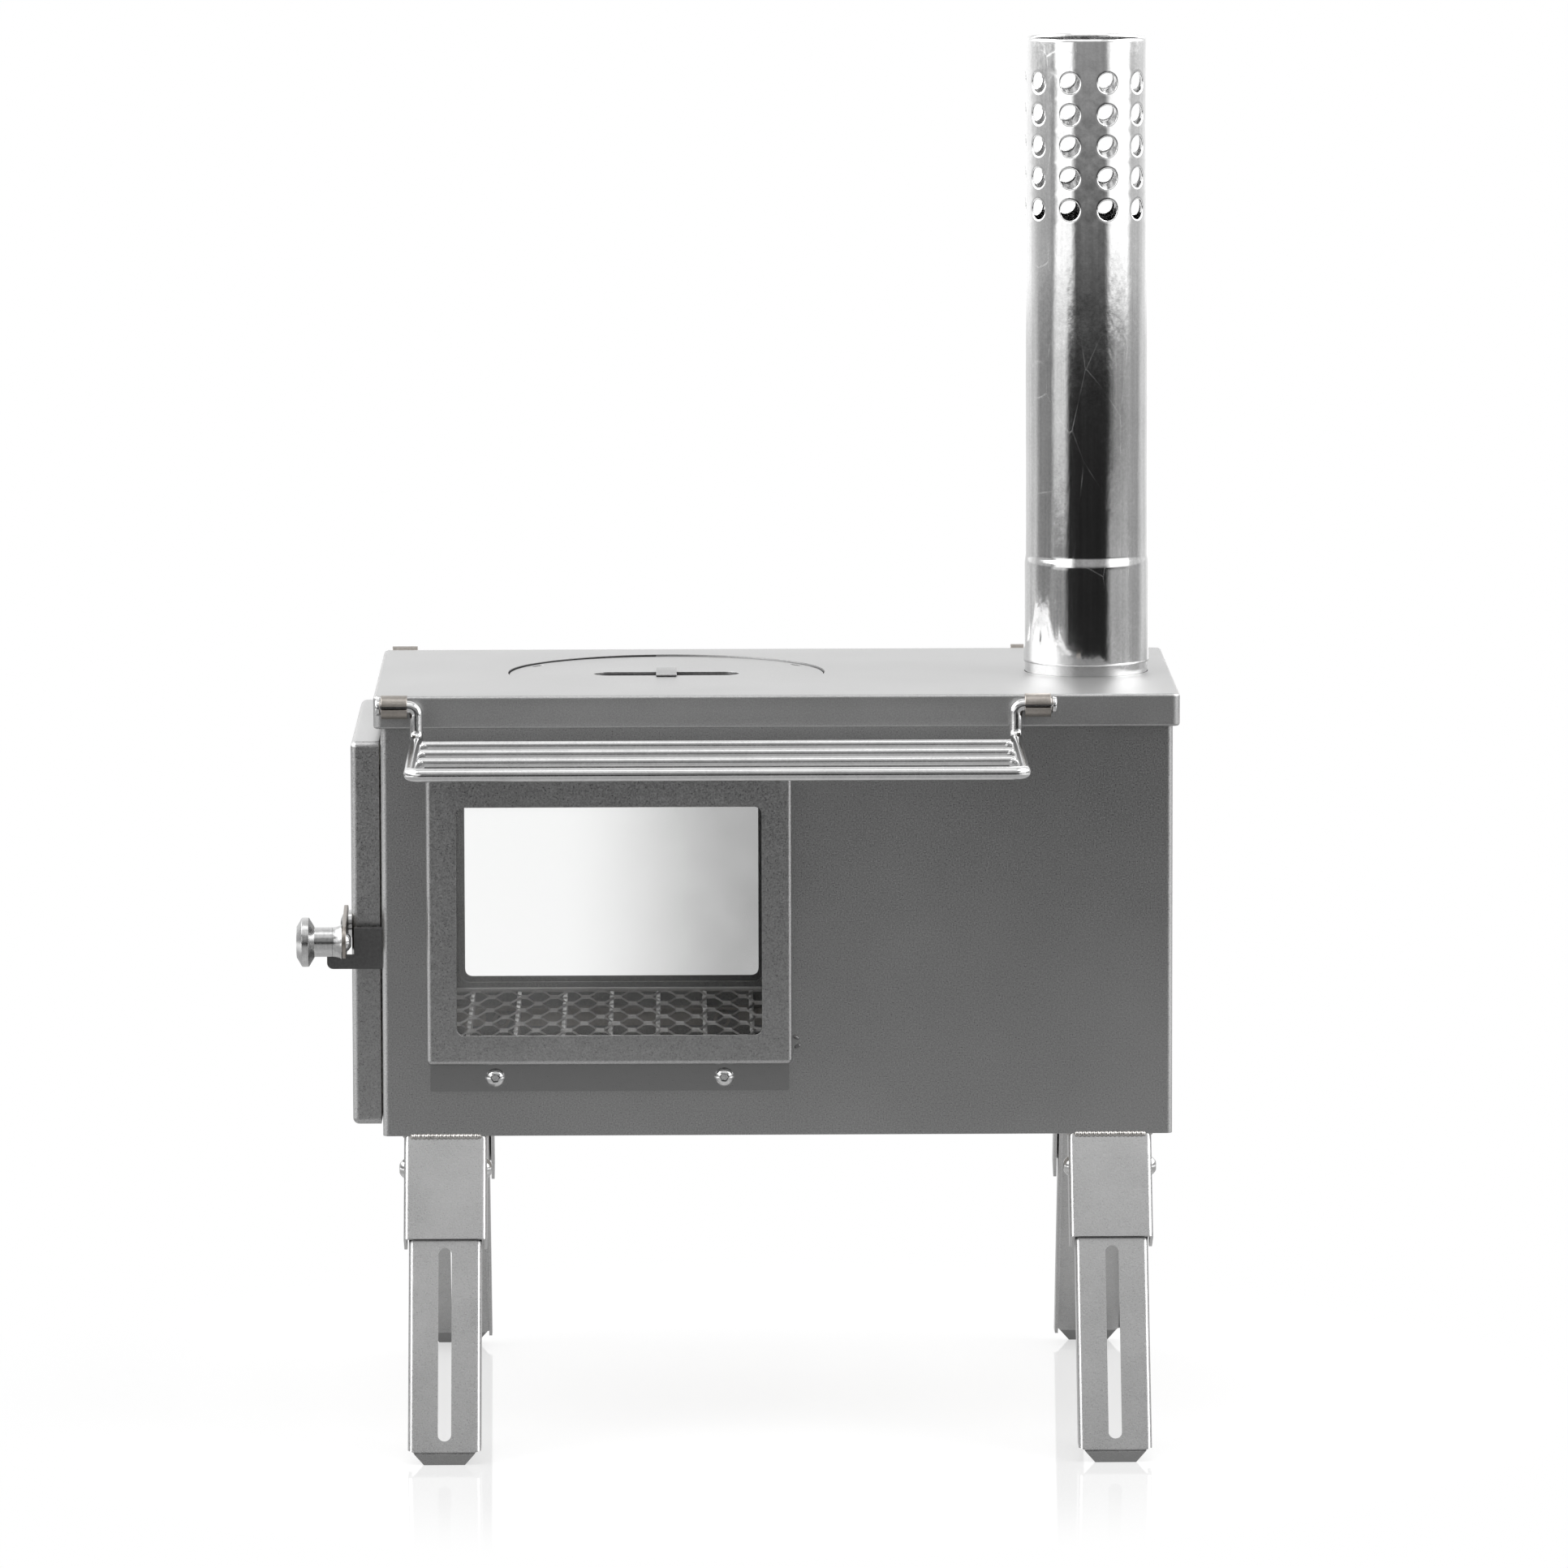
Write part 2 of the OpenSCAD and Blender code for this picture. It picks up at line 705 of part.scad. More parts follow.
// Low arch across the pocket for the lifting hook
module disc_bridge() {
    half = bridge_l / 2;
    arch_r = (half * half + bridge_rise * bridge_rise) / (2 * bridge_rise);
    color(polished) placed() translate([disc_x, 0, plate_top - disc_sunk]) intersection() {
        translate([0, 0, bridge_rise - arch_r]) rotate([0, 90, 0]) difference() {
            cylinder(r = arch_r + bridge_t, h = bridge_w, center = true, $fn = 96);
            cylinder(r = arch_r, h = bridge_w + over, center = true, $fn = 96);
        }
        translate([-bridge_w, -bridge_l, 0]) cube([2 * bridge_w, 2 * bridge_l, bridge_l]);
    }
}

// Flue

module flue_collar() {
    color(bright) placed() translate([flue_x, 0, plate_under]) difference() {
        union() {
            translate([0, 0, -tab_t]) cylinder(r = collar_r + collar_flange, h = tab_t);
            translate([0, 0, -tab_t]) cylinder(r = collar_r, h = tab_t + plate_t + collar_show + socket_l);
        }
        translate([0, 0, -tab_t - over])
            cylinder(r = collar_r - collar_t, h = tab_t + plate_t + collar_show + socket_l + 2 * over);
    }
}

module flue_pipe() {
    bore = flue_r - pipe_t;
    color(polished) placed() translate([flue_x, 0, pipe_z]) difference() {
        rotate_extrude($fn = 96) polygon([
            [socket_in, 0], [socket_r, 0], [socket_r, socket_l], [flue_r, socket_l + shoulder_l],
            [flue_r, pipe_l], [bore, pipe_l], [bore, socket_l + shoulder_l], [socket_in, socket_l]
        ]);
        for (row = [0:hole_rows - 1], column = [0:hole_columns - 1])
            translate([0, 0, pipe_l - hole_top - row * hole_pitch])
                rotate([90, 0, (column + 0.5) * 360 / hole_columns])
                    translate([0, 0, flue_r - 2 * hole_r]) cylinder(r = hole_r, h = 4 * hole_r);
    }
}

// Windows

module window_frame() {
    color(sheet) placed() on_front_window() difference() {
        union() {
            translate([0, win_z + win_h / 2, 0])
                pan(frame_l, frame_h, frame_d, frame_t, frame_t, frame_bend_r, frame_bend_r);
            translate([strip_inset - frame_l / 2, frame_low - strip_h, 0])
                cube([frame_l - 2 * strip_inset, strip_h + frame_t, frame_t]);
        }
        translate([0, win_z + win_h / 2, 0]) linear_extrude(frame_d + over)
            round_rect(win_l, win_h, win_corner_r);
        for (side = [-1, 1]) translate([side * screw_gap / 2, screw_z, -over])
            cylinder(r = screw_r + fixed, h = frame_t + 2 * over);
    }
}

module window_frame_front() {
    window_frame();
}

module window_frame_rear() {
    to_rear() window_frame();
}

module window_glass() {
    color("lightblue", 0.35) placed() on_front_window()
        translate([0, win_z + win_h / 2, gasket_t])
            linear_extrude(glass_t) round_rect(win_l + 2 * glass_lap, win_h + 2 * glass_lap, win_corner_r);
}

module window_glass_front() {
    window_glass();
}

module window_glass_rear() {
    to_rear() window_glass();
}

module window_gasket() {
    color("white") placed() on_front_window() translate([0, win_z + win_h / 2, 0])
        ring_plate(win_l + 2 * glass_lap, win_h + 2 * glass_lap, win_corner_r,
            glass_lap - win_margin, gasket_t);
}

module window_gasket_front() {
    window_gasket();
}

module window_gasket_rear() {
    to_rear() window_gasket();
}

module window_screws() {
    color(polished) placed() on_front_window()
        for (side = [-1, 1]) translate([side * screw_gap / 2, screw_z, frame_t])
            button_screw(frame_t + wall_t + nut_t + over);
}

module window_screws_front() {
    window_screws();
}

module window_screws_rear() {
    to_rear() window_screws();
}

module window_nuts() {
    color(bright) placed() on_front_window()
        for (side = [-1, 1]) translate([side * screw_gap / 2, screw_z, -wall_t - nut_t])
            difference() {
                cylinder(r = nut_af / 2 / cos(30), h = nut_t, $fn = 6);
                translate([0, 0, -over]) cylinder(r = screw_r + fixed, h = nut_t + 2 * over);
            }
}

module window_nuts_front() {
    window_nuts();
}

module window_nuts_rear() {
    to_rear() window_nuts();
}

// Grate

module mesh_opening(x, y) {
    translate([x, y]) polygon([
        [-mesh_half_x, 0], [0, mesh_half_y], [mesh_half_x, 0], [0, -mesh_half_y]
    ]);
}

module grate_mesh() {
    color(iron) placed() translate([0, 0, body_z + grate_z - mesh_t]) linear_extrude(mesh_t)
        difference() {
            square([mesh_l, mesh_w], center = true);
            for (i = [0:mesh_columns], j = [0:mesh_rows])
                mesh_opening((i - mesh_columns / 2) * mesh_x, (j - mesh_rows / 2) * mesh_y);
            for (i = [1:mesh_columns], j = [1:mesh_rows])
                mesh_opening((i - (mesh_columns + 1) / 2) * mesh_x, (j - (mesh_rows + 1) / 2) * mesh_y);
        }
}

module grate_bars() {
    color(iron) placed()
        for (i = [0:bar_count - 1])
            translate([(i - (bar_count - 1) / 2) * bar_pitch - bar_t / 2, -bar_w / 2, body_z + bar_z])
                cube([bar_t, bar_w, bar_h]);
}

// Angle ledges along the long walls
module ledge() {
    translate([-mesh_l / 2, wall_t - half_w, body_z + bar_z - ledge_w]) difference() {
        cube([mesh_l, ledge_w, ledge_w]);
        translate([-over, wall_t, -over]) cube([mesh_l + 2 * over, ledge_w, ledge_w + over - wall_t]);
        for (side = [-1, 1])
            translate([mesh_l / 2 + win_x + side * screw_gap / 2 - nut_af, -over, -over])
                cube([2 * nut_af, ledge_w + 2 * over, ledge_w + over - wall_t]);
    }
}

module grate_ledges() {
    color(iron) placed() {
        ledge();
        to_rear() ledge();
    }
}

// Legs

// U channel hanging from the pivot, its web outwards and its open side inwards
module channel(w, d, l, t, web_y) {
    translate([0, web_y + d / 2, -l]) linear_extrude(l) difference() {
        round_rect(w, d, leg_bend_r);
        round_rect(w - 2 * t, d - 2 * t, leg_bend_r - t);
        translate([-w / 2 + t, 0]) square([w - 2 * t, d]);
        translate([-w, d / 2 - leg_bend_r]) square([2 * w, d]);
    }
    for (side = [-1, 1])
        translate([side * (w - t) / 2 - t / 2, web_y + d / 2, -l])
            cube([t, d / 2, l]);
}

module leg_bracket() {
    rise = pivot_drop + bracket_d;
    intersection() {
        at_leg(0) difference() {
            translate([0, 0, rise])
                channel(bracket_w, bracket_d, rise + bracket_l - pivot_drop, leg_t, -pivot_in);
            rotate([0, 90, 0]) cylinder(r = screw_r + fixed, h = 2 * bracket_w, center = true);
        }
        translate([-bracket_w, -body_w, 0]) cube([2 * bracket_w, body_w, body_z]);
    }
}

// Foot: the web's lower end bent in until it stands upright on its lower edge
module foot() {
    translate([0, foot_r - leg_half, -leg_l]) {
        rotate([0, 90, 0]) rotate([0, 0, -90])
            rotate_extrude(angle = splay)
                translate([foot_bend_r + step, step - foot_w / 2])
                    square([leg_t - 2 * step, foot_w - 2 * step]);
        rotate([splay, 0, 0]) translate([0, -foot_bend_r, 0]) rotate([90, 0, 0])
            linear_extrude(leg_t) polygon([
                [-foot_w / 2, tuck], [-foot_tip_w / 2, -foot_l],
                [foot_tip_w / 2, -foot_l], [foot_w / 2, tuck]
            ]);
    }
}

module leg() {
    difference() {
        union() {
            intersection() {
                channel(leg_w, leg_d, leg_l, leg_t, -leg_half);
                leg_trim();
            }
            for (side = [-1, 1]) translate([side * (leg_w - leg_t) / 2, 0, 0])
                rotate([0, 90, 0]) cylinder(r = leg_half, h = leg_t, center = true);
        }
        rotate([0, 90, 0]) cylinder(r = screw_r + turn, h = 2 * leg_w, center = true);
        translate([0, -leg_half, slot_low + slot_l / 2 - leg_l]) rotate([90, 90, 0])
            linear_extrude(2 * leg_d, center = true) slot_shape(slot_l, slot_w);
    }
    foot();
}

// Keeps the channel clear of the floor: above the foot's bend, cut level
module leg_trim() {
    translate([0, 0, -leg_l]) union() {
        translate([-leg_w, -leg_half - over, 0]) cube([2 * leg_w, leg_t + over, 2 * leg_l]);
        translate([0, -leg_half, 0]) rotate([splay, 0, 0])
            translate([-leg_w, -leg_l, 0]) cube([2 * leg_w, 2 * leg_l, 2 * leg_l]);
    }
}

module leg_bracket_front_left() {
    color(bright) placed() translate([-leg_x, 0, 0]) leg_bracket();
}

module leg_bracket_front_right() {
    color(bright) placed() translate([leg_x, 0, 0]) leg_bracket();
}

module leg_bracket_rear_left() {
    color(bright) placed() to_rear() translate([-leg_x, 0, 0]) leg_bracket();
}

module leg_bracket_rear_right() {
    color(bright) placed() to_rear() translate([leg_x, 0, 0]) leg_bracket();
}

module leg_pin() {
    rotate([0, 90, 0]) {
        cylinder(r = screw_r, h = bracket_w, center = true);
        for (side = [0, 1]) mirror([0, 0, side]) translate([0, 0, bracket_w / 2]) dome(head_r, head_h);
    }
}

module leg_pins() {
    color(polished) placed() for (side = [-1, 1]) {
        at_leg(side) leg_pin();
        to_rear() at_leg(side) leg_pin();
    }
}

module leg_front_left() {
    color(bright) placed() at_leg(-1) leg();
}

module leg_front_right() {
    color(bright) placed() at_leg(1) leg();
}

module leg_rear_left() {
    color(bright) placed() to_rear() at_leg(-1) leg();
}

module leg_rear_right() {
    color(bright) placed() to_rear() at_leg(1) leg();
}

// Side racks, in a frame on the hinge line midway between the arms

module on_hinge_line() {
    translate([rack_x, -hinge_line_y, hinge_line_z]) children();
}

// Left half of the rack's bent frame rod
module rack_half_frame() {
    bar_y = -rack_reach;
    entry = -rack_half - arm_bend_r;
    end_x = entry - barrel_l - 2 * slip;
    rod([entry, 0, 0], [end_x, 0, 0], rod_r);
    rod([end_x, 0, 0], [end_x - upset_l, 0, 0], upset_r);
    translate([entry, 0, -arm_bend_r]) rotate([90, 0, 0]) elbow(arm_bend_r, rod_r);
    rod([-rack_half, 0, -arm_bend_r], [-rack_half, 0, rack_corner_r - rack_drop], rod_r);
    translate([-rack_half, -rack_corner_r, rack_corner_r - rack_drop]) rotate([-90, 0, 90])
        elbow(rack_corner_r, rod_r);
    rod([-rack_half, -rack_corner_r, -rack_drop], [-rack_half, bar_y + rack_corner_r, -rack_drop], rod_r);
    translate([rack_corner_r - rack_half, bar_y + rack_corner_r, -rack_drop]) rotate([0, 0, 180])
        elbow(rack_corner_r, rod_r);
    rod([rack_corner_r - rack_half, bar_y, -rack_drop], [0, bar_y, -rack_drop], rod_r);
}

module rack_frame() {
    color(polished) placed() on_hinge_line() {
        rack_half_frame();
        mirror([1, 0, 0]) rack_half_frame();
    }
}

module rack_frame_front() {
    rack_frame();
}

module rack_frame_rear() {
    to_rear() rack_frame();
}

// Cross rods, level with the top of the frame
module rack_rods() {
    half = rack_half - rod_r - turn;
    color(polished) placed() on_hinge_line()
        for (i = [0:cross_count - 1])
            let (place = [0, -cross_first - i * cross_pitch, rod_r - cross_r - rack_drop])
                rod(place + [-half, 0, 0], place + [half, 0, 0], cross_r);
}

module rack_rods_front() {
    rack_rods();
}

module rack_rods_rear() {
    to_rear() rack_rods();
}

// Slit barrels welded to the plate's skirt
module rack_barrels() {
    inner = rack_half + arm_bend_r + slip;
    color(iron) placed() on_hinge_line() for (side = [0, 1]) mirror([side, 0, 0])
        translate([-inner - barrel_l, 0, 0]) rotate([0, 90, 0]) difference() {
            union() {
                cylinder(r = barrel_r, h = barrel_l);
                translate([-barrel_r / 2, 0, 0]) cube([barrel_r, barrel_r, barrel_l]);
            }
            translate([0, 0, -over]) cylinder(r = rod_r + turn, h = barrel_l + 2 * over);
            translate([-barrel_slit / 2, -2 * barrel_r, -over])
                cube([barrel_slit, 2 * barrel_r, barrel_l + 2 * over]);
        }
}

module rack_barrels_front() {
    rack_barrels();
}

module rack_barrels_rear() {
    to_rear() rack_barrels();
}

// Door

module vents() {
    for (i = [0:vent_count - 1])
        translate([vent_z, (i - (vent_count - 1) / 2) * vent_pitch]) slot_shape(vent_h, vent_w);
}

module door_pan() {
    color(sheet) placed() on_door_end() difference() {
        translate([door_low + door_h / 2, 0, door_gap])
            pan(door_h, door_w, door_d, door_t, door_t, door_bend_r, door_t + slip);
        translate([0, 0, door_inner - over]) linear_extrude(door_t + 2 * over) {
            vents();
            translate([grip_z, damper_travel / 2]) rotate(90)
                slot_shape(damper_travel + 2 * (screw_r + slip), 2 * (screw_r + slip));
        }
        translate([latch_z, -latch_y, door_inner - over])
            cylinder(r = rivet_r + fixed, h = door_t + 2 * over);
    }
}

module door_liner() {
    color(iron) placed() on_door_end() translate([0, 0, liner_z]) linear_extrude(liner_t)
        difference() {
            translate([liner_mid, 0]) round_rect(liner_h, liner_w, mouth_r);
            for (i = [0:liner_holes - 1])
                translate([liner_hole_z, (i - (liner_holes - 1) / 2) * liner_hole_pitch])
                    circle(liner_hole_r);
        }
}

module door_liner_studs() {
    color(bright) placed() on_door_end()
        for (sx = [-1, 1], sy = [-1, 1])
            translate([liner_mid + sx * stud_inset, sy * stud_y, liner_z + liner_t])
                cylinder(r = stud_r, h = door_inner - liner_z - liner_t);
}

module door_rope_seal() {
    color("white") placed() on_door_end() translate([liner_mid, 0, -wall_t])
        ring_plate(mouth_h + 2 * rope_w, mouth_w + 2 * rope_w, mouth_r, rope_w,
            liner_z + wall_t - slip);
}

// Each hinge has a fixed knuckle above and below the door's own
module door_hinge_fixed() {
    color(sheet) placed() on_door_end()
        for (height = [hinge_low, hinge_high], side = [-1, 1])
            translate([height + side * knuckle_pitch - knuckle_l / 2, hinge_y, 0])
                difference() {
                    union() {
                        translate([0, 0, knuckle_out]) rotate([0, 90, 0])
                            cylinder(r = knuckle_r, h = knuckle_l);
                        translate([0, -knuckle_r / 2, 0])
                            cube([knuckle_l, knuckle_r * 1.5, knuckle_out]);
                    }
                    translate([-over, 0, knuckle_out]) rotate([0, 90, 0])
                        cylinder(r = pin_r + fixed, h = knuckle_l + 2 * over);
                }
}

module door_hinge_moving() {
    reach = knuckle_r + knuckle_gap;
    color(sheet) placed() on_door_end()
        for (height = [hinge_low, hinge_high])
            translate([height - knuckle_l / 2, hinge_y, knuckle_out]) difference() {
                union() {
                    rotate([0, 90, 0]) cylinder(r = knuckle_r, h = knuckle_l);
                    translate([0, -reach, -knuckle_r / 3]) cube([knuckle_l, reach, knuckle_r * 4 / 3]);
                }
                translate([-over, 0, 0]) rotate([0, 90, 0])
                    cylinder(r = pin_r + turn, h = knuckle_l + 2 * over);
            }
}

module door_hinge_pins() {
    length = 3 * knuckle_l + 2 * slip;
    color(polished) placed() on_door_end()
        for (height = [hinge_low, hinge_high])
            translate([height, hinge_y, knuckle_out]) rotate([0, 90, 0]) {
                cylinder(r = pin_r, h = length, center = true);
                for (side = [0, 1]) mirror([0, 0, side])
                    translate([0, 0, length / 2]) dome(pin_head_r, pin_head_h);
            }
}

module damper_plate() {
    color(iron) placed() on_door_end() translate([0, 0, damper_in]) linear_extrude(damper_t)
        difference() {
            translate([damper_low, -damper_l / 2]) square([damper_h, damper_l]);
            vents();
            translate([grip_z, 0]) circle(screw_r + fixed);
        }
}

// The grip is a screw whose dome head slides along the door's face
module damper_grip() {
    shank_l = door_face + slip - damper_in + damper_t;
    color(polished) placed() on_door_end() translate([grip_z, 0, 0]) {
        translate([0, 0, door_face + slip]) dome(head_r, head_h);
        translate([0, 0, damper_in - damper_t]) cylinder(r = screw_r, h = shank_l);
        translate([0, 0, damper_in - 2 * damper_t]) cylinder(r = head_r, h = 2 * damper_t);
    }
}

module damper_rail(low, lip_low) {
    translate([low, -rail_l / 2, damper_in - slip])
        cube([rail_lap, rail_l, door_inner - damper_in + slip]);
    translate([lip_low, -rail_l / 2, damper_in - slip - rail_t])
        cube([2 * rail_lap, rail_l, rail_t]);
}

module damper_rails() {
    upper = damper_low + damper_h + slip;
    lower = damper_low - slip - rail_lap;
    color(bright) placed() on_door_end() {
        damper_rail(upper, upper - rail_lap);
        damper_rail(lower, lower);
    }
}

// Latch

// Lever outline: two round ends and the straight edges that join them
module link(span, r1, r2) {
    tilt = asin((r1 - r2) / span);
    left = [sin(tilt), cos(tilt)];
    right = [sin(tilt), -cos(tilt)];
    circle(r1);
    translate([span, 0]) circle(r2);
    polygon([
        (r1 - tuck) * right, [span, 0] + (r2 - tuck) * right,
        [span, 0] + (r2 - tuck) * left, (r1 - tuck) * left
    ]);
}

module latch_lever() {
    color(bright) placed() on_door_end() difference() {
        translate([latch_z, -latch_y, lever_in]) rotate([0, 0, atan2(-knob_dy, -knob_dz)])
            linear_extrude(lever_t) link(lever_span, lever_r, lever_end_r);
        translate([latch_z, -latch_y, lever_in - over])
            cylinder(r = rivet_r + turn, h = lever_t + 2 * over);
        translate([knob_z, -knob_y, lever_in - over])
            cylinder(r = screw_r + fixed, h = lever_t + 2 * over);
    }
}

module latch_pivot() {
    color(polished) placed() on_door_end() translate([latch_z, -latch_y, 0]) {
        translate([0, 0, door_inner - rivet_head_h]) cylinder(r = rivet_head_r, h = rivet_head_h);
        translate([0, 0, door_inner - rivet_head_h])
            cylinder(r = rivet_r, h = lever_out - door_inner + rivet_head_h + slip);
        translate([0, 0, door_face]) cylinder(r = lever_r * 0.75, h = washer_t);
        translate([0, 0, lever_out + slip / 2]) dome(rivet_head_r, rivet_head_h);
    }
}

module latch_knob() {
    head_z = knob_foot_l + knob_shaft_l;
    rim_z = head_z + knob_cone_l;
    color(polished) placed() on_door_end() translate([knob_z, -knob_y, lever_out])
        rotate_extrude() polygon([
            [screw_r + fixed, 0], [knob_foot_r, 0], [knob_shaft_r, knob_foot_l],
            [knob_shaft_r, head_z], [knob_face_r, head_z], [knob_head_r, rim_z],
            [knob_head_r, rim_z + knob_rim_l], [knob_face_r, knob_l], [0, knob_l],
            [0, head_z], [screw_r + fixed, head_z]
        ]);
}

module knob_screw() {
    color(polished) placed() on_door_end() translate([knob_z, -knob_y, 0]) {
        translate([0, 0, lever_in]) mirror([0, 0, 1]) dome(head_r, head_h);
        translate([0, 0, lever_in]) cylinder(r = screw_r, h = lever_t + knob_shaft_l);
    }
}

// Hook plate that the lever drops on to
module door_catch() {
    lip_r = (lip_z - catch_low) * 0.7;
    color(sheet) placed() translate([-half_l, catch_t - catch_y, body_z]) rotate([90, 0, 0])
        linear_extrude(catch_t) union() {
            translate([-catch_out, catch_low]) square([catch_out, catch_high - catch_low]);
            translate([lip_r - lip_out, catch_low]) square([lip_out - lip_r, lip_z - catch_low]);
            translate([-lip_out, catch_low + lip_r]) square([lip_out, lip_z - catch_low - lip_r]);
            intersection() {
                translate([lip_r - lip_out, catch_low + lip_r]) circle(lip_r);
                translate([-lip_out, catch_low]) square([lip_out, lip_z - catch_low]);
            }
        }
}

front_wall();
rear_wall();
door_end_wall();
flue_end_wall();
floor_pan();
top_plate();
disc_tabs();
flue_collar();
window_frame_front();
window_frame_rear();
window_glass_front();
window_glass_rear();
window_gasket_front();
window_gasket_rear();
window_screws_front();
window_screws_rear();
window_nuts_front();
window_nuts_rear();
grate_mesh();
grate_bars();
grate_ledges();
leg_bracket_front_left();
leg_bracket_front_right();
leg_bracket_rear_left();
leg_bracket_rear_right();
leg_pins();
rack_barrels_front();
rack_barrels_rear();
door_rope_seal();
door_hinge_fixed();
door_hinge_pins();
door_catch();
leg_front_left();
leg_front_right();
leg_rear_left();
leg_rear_right();
rack_frame_front();
rack_frame_rear();
rack_rods_front();
rack_rods_rear();
door_pan();
door_liner();
door_liner_studs();
door_hinge_moving();
damper_rails();
latch_pivot();
damper_plate();
damper_grip();
latch_lever();
latch_knob();
knob_screw();
cook_disc();
disc_bridge();
flue_pipe();
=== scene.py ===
# %% [markdown]
# # Tent wood stove
# This lesson dresses a stove whose solids are already built. The pieces that
# show are made again here as the workshop makes them: sheets are cut flat and
# folded, pans are pressed, rods are bent, knobs are turned. The hidden ones
# keep their solids and only get a finish.

import math
import random
import bmesh
import bpy
from mathutils import Matrix, Vector


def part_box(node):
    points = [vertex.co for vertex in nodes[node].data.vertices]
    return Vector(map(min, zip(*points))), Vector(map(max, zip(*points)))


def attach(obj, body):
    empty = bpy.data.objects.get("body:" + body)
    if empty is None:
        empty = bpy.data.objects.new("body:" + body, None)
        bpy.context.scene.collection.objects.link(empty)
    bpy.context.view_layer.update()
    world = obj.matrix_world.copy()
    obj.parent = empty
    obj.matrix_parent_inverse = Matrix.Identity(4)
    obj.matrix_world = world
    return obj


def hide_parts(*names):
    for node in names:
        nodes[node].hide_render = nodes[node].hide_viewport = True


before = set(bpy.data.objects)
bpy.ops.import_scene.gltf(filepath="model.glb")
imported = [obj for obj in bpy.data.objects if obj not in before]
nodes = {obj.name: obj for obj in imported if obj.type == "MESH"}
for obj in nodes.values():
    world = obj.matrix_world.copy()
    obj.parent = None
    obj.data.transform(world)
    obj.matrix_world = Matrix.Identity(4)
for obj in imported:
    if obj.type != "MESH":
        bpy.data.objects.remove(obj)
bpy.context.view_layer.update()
rng = random.Random(4)

# millimetres: half length, half width, lower edge and height of the firebox
HALF_L, HALF_W, BODY_Z, WALL_H = 190.5, 100.0, 148.012, 212.5
PLATE_TOP = BODY_Z + WALL_H + 1.5
WIN_X, DISC_X, FLUE_X, PIPE_R = -81.0, -53.0, 152.5, 30
MM = 0.001
wall_low, wall_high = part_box("front_wall")
MIDDLE_X = (wall_low[0] + wall_high[0]) * 500
print("stove of", len(nodes), "nodes, firebox middle at", round(MIDDLE_X, 3), "mm")

# %% [markdown]
# ## Placing
# Every piece is drawn in millimetres where it is easy to draw: a window frame
# lies flat with its face up, a leg hangs from its own pivot. A matrix then
# carries it to its place on the firebox, and one last step turns millimetres
# into metres in the frame that all the stove's pieces share.

# %% Frames to draw in
def frame_of(x, y, z, origin):
    """A matrix whose columns are the drawing's axes in the firebox's frame."""
    return Matrix.Translation(origin) @ Matrix((x, y, z)).transposed().to_4x4()

def shift(x, y, z):
    return Matrix.Translation((x, y, z))

LEVEL = Matrix.Identity(4)
TO_REAR = Matrix.Diagonal((1, -1, 1, 1))
ENDS = (("front", LEVEL), ("rear", TO_REAR))
ON_WALL = frame_of((1, 0, 0), (0, 0, 1), (0, -1, 0), (0, -HALF_W, BODY_Z))
ON_WINDOW = ON_WALL @ shift(WIN_X, 0, 0)
ON_DOOR = frame_of((0, 0, 1), (0, 1, 0), (-1, 0, 0), (-HALF_L, 0, BODY_Z))
SPLAY, PIVOT_Y, PIVOT_Z, LEG_X = math.radians(27), 97.261, 131.801, 160.4

def at_leg(side):
    """The leg's frame: across, up along the leg, outwards from its web."""
    leg = shift(side * LEG_X, -PIVOT_Y, PIVOT_Z) @ Matrix.Rotation(-SPLAY, 4, "X")
    return leg @ frame_of((1, 0, 0), (0, 0, 1), (0, -1, 0), (0, 0, 0))

def new_object(name, bm, finish):
    """Puts a mesh with one finish in the scene."""
    mesh = bpy.data.meshes.new(name)
    bm.to_mesh(mesh)
    bm.free()
    mesh.materials.append(finish)
    obj = bpy.data.objects.new(name, mesh)
    bpy.context.scene.collection.objects.link(obj)
    return obj

def piece(name, bm, finish, body, place=LEVEL, sheet=0.0, round_off=0.0, smooth=32,
          weighted=True):
    """Places a millimetre mesh, named after the node it replaces and how it is made."""
    bmesh.ops.dissolve_degenerate(bm, dist=0.004, edges=bm.edges[:])
    bmesh.ops.transform(bm, matrix=place, verts=bm.verts[:])
    if place.determinant() < 0:
        bmesh.ops.reverse_faces(bm, faces=bm.faces[:])
    metres = Matrix.Scale(MM, 4) @ shift(MIDDLE_X, 0, 0)
    bmesh.ops.transform(bm, matrix=metres, verts=bm.verts[:])
    obj = new_object(name, bm, finish)
    obj.data.shade_smooth()
    obj.data.set_sharp_from_angle(angle=math.radians(smooth))
    if sheet:
        wall = obj.modifiers.new("sheet thickness", "SOLIDIFY")
        wall.thickness, wall.offset, wall.use_even_offset = sheet * MM, -1, True
    if round_off:
        edge = obj.modifiers.new("broken edges", "BEVEL")
        edge.width, edge.segments, edge.limit_method = round_off * MM, 2, "ANGLE"
        edge.angle_limit, edge.miter_outer = math.radians(40), "MITER_ARC"
        edge.use_clamp_overlap = True
    if weighted:
        obj.modifiers.new("flat faces stay flat", "WEIGHTED_NORMAL").keep_sharp = True
    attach(obj, body)
    node = name.rpartition("_")[0]
    if node in nodes:
        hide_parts(node)
    print(name, len(obj.data.polygons), "faces", [round(d * 1000, 1) for d in obj.dimensions])

# %% [markdown]
# ## Camera
# The photograph was taken from about five metres away with a long lens, a
# little above the stove and looking slightly down. The long lens keeps the
# upright edges parallel, so the lens is as long here, and the camera is turned
# by the small angles that the firebox's edges show.

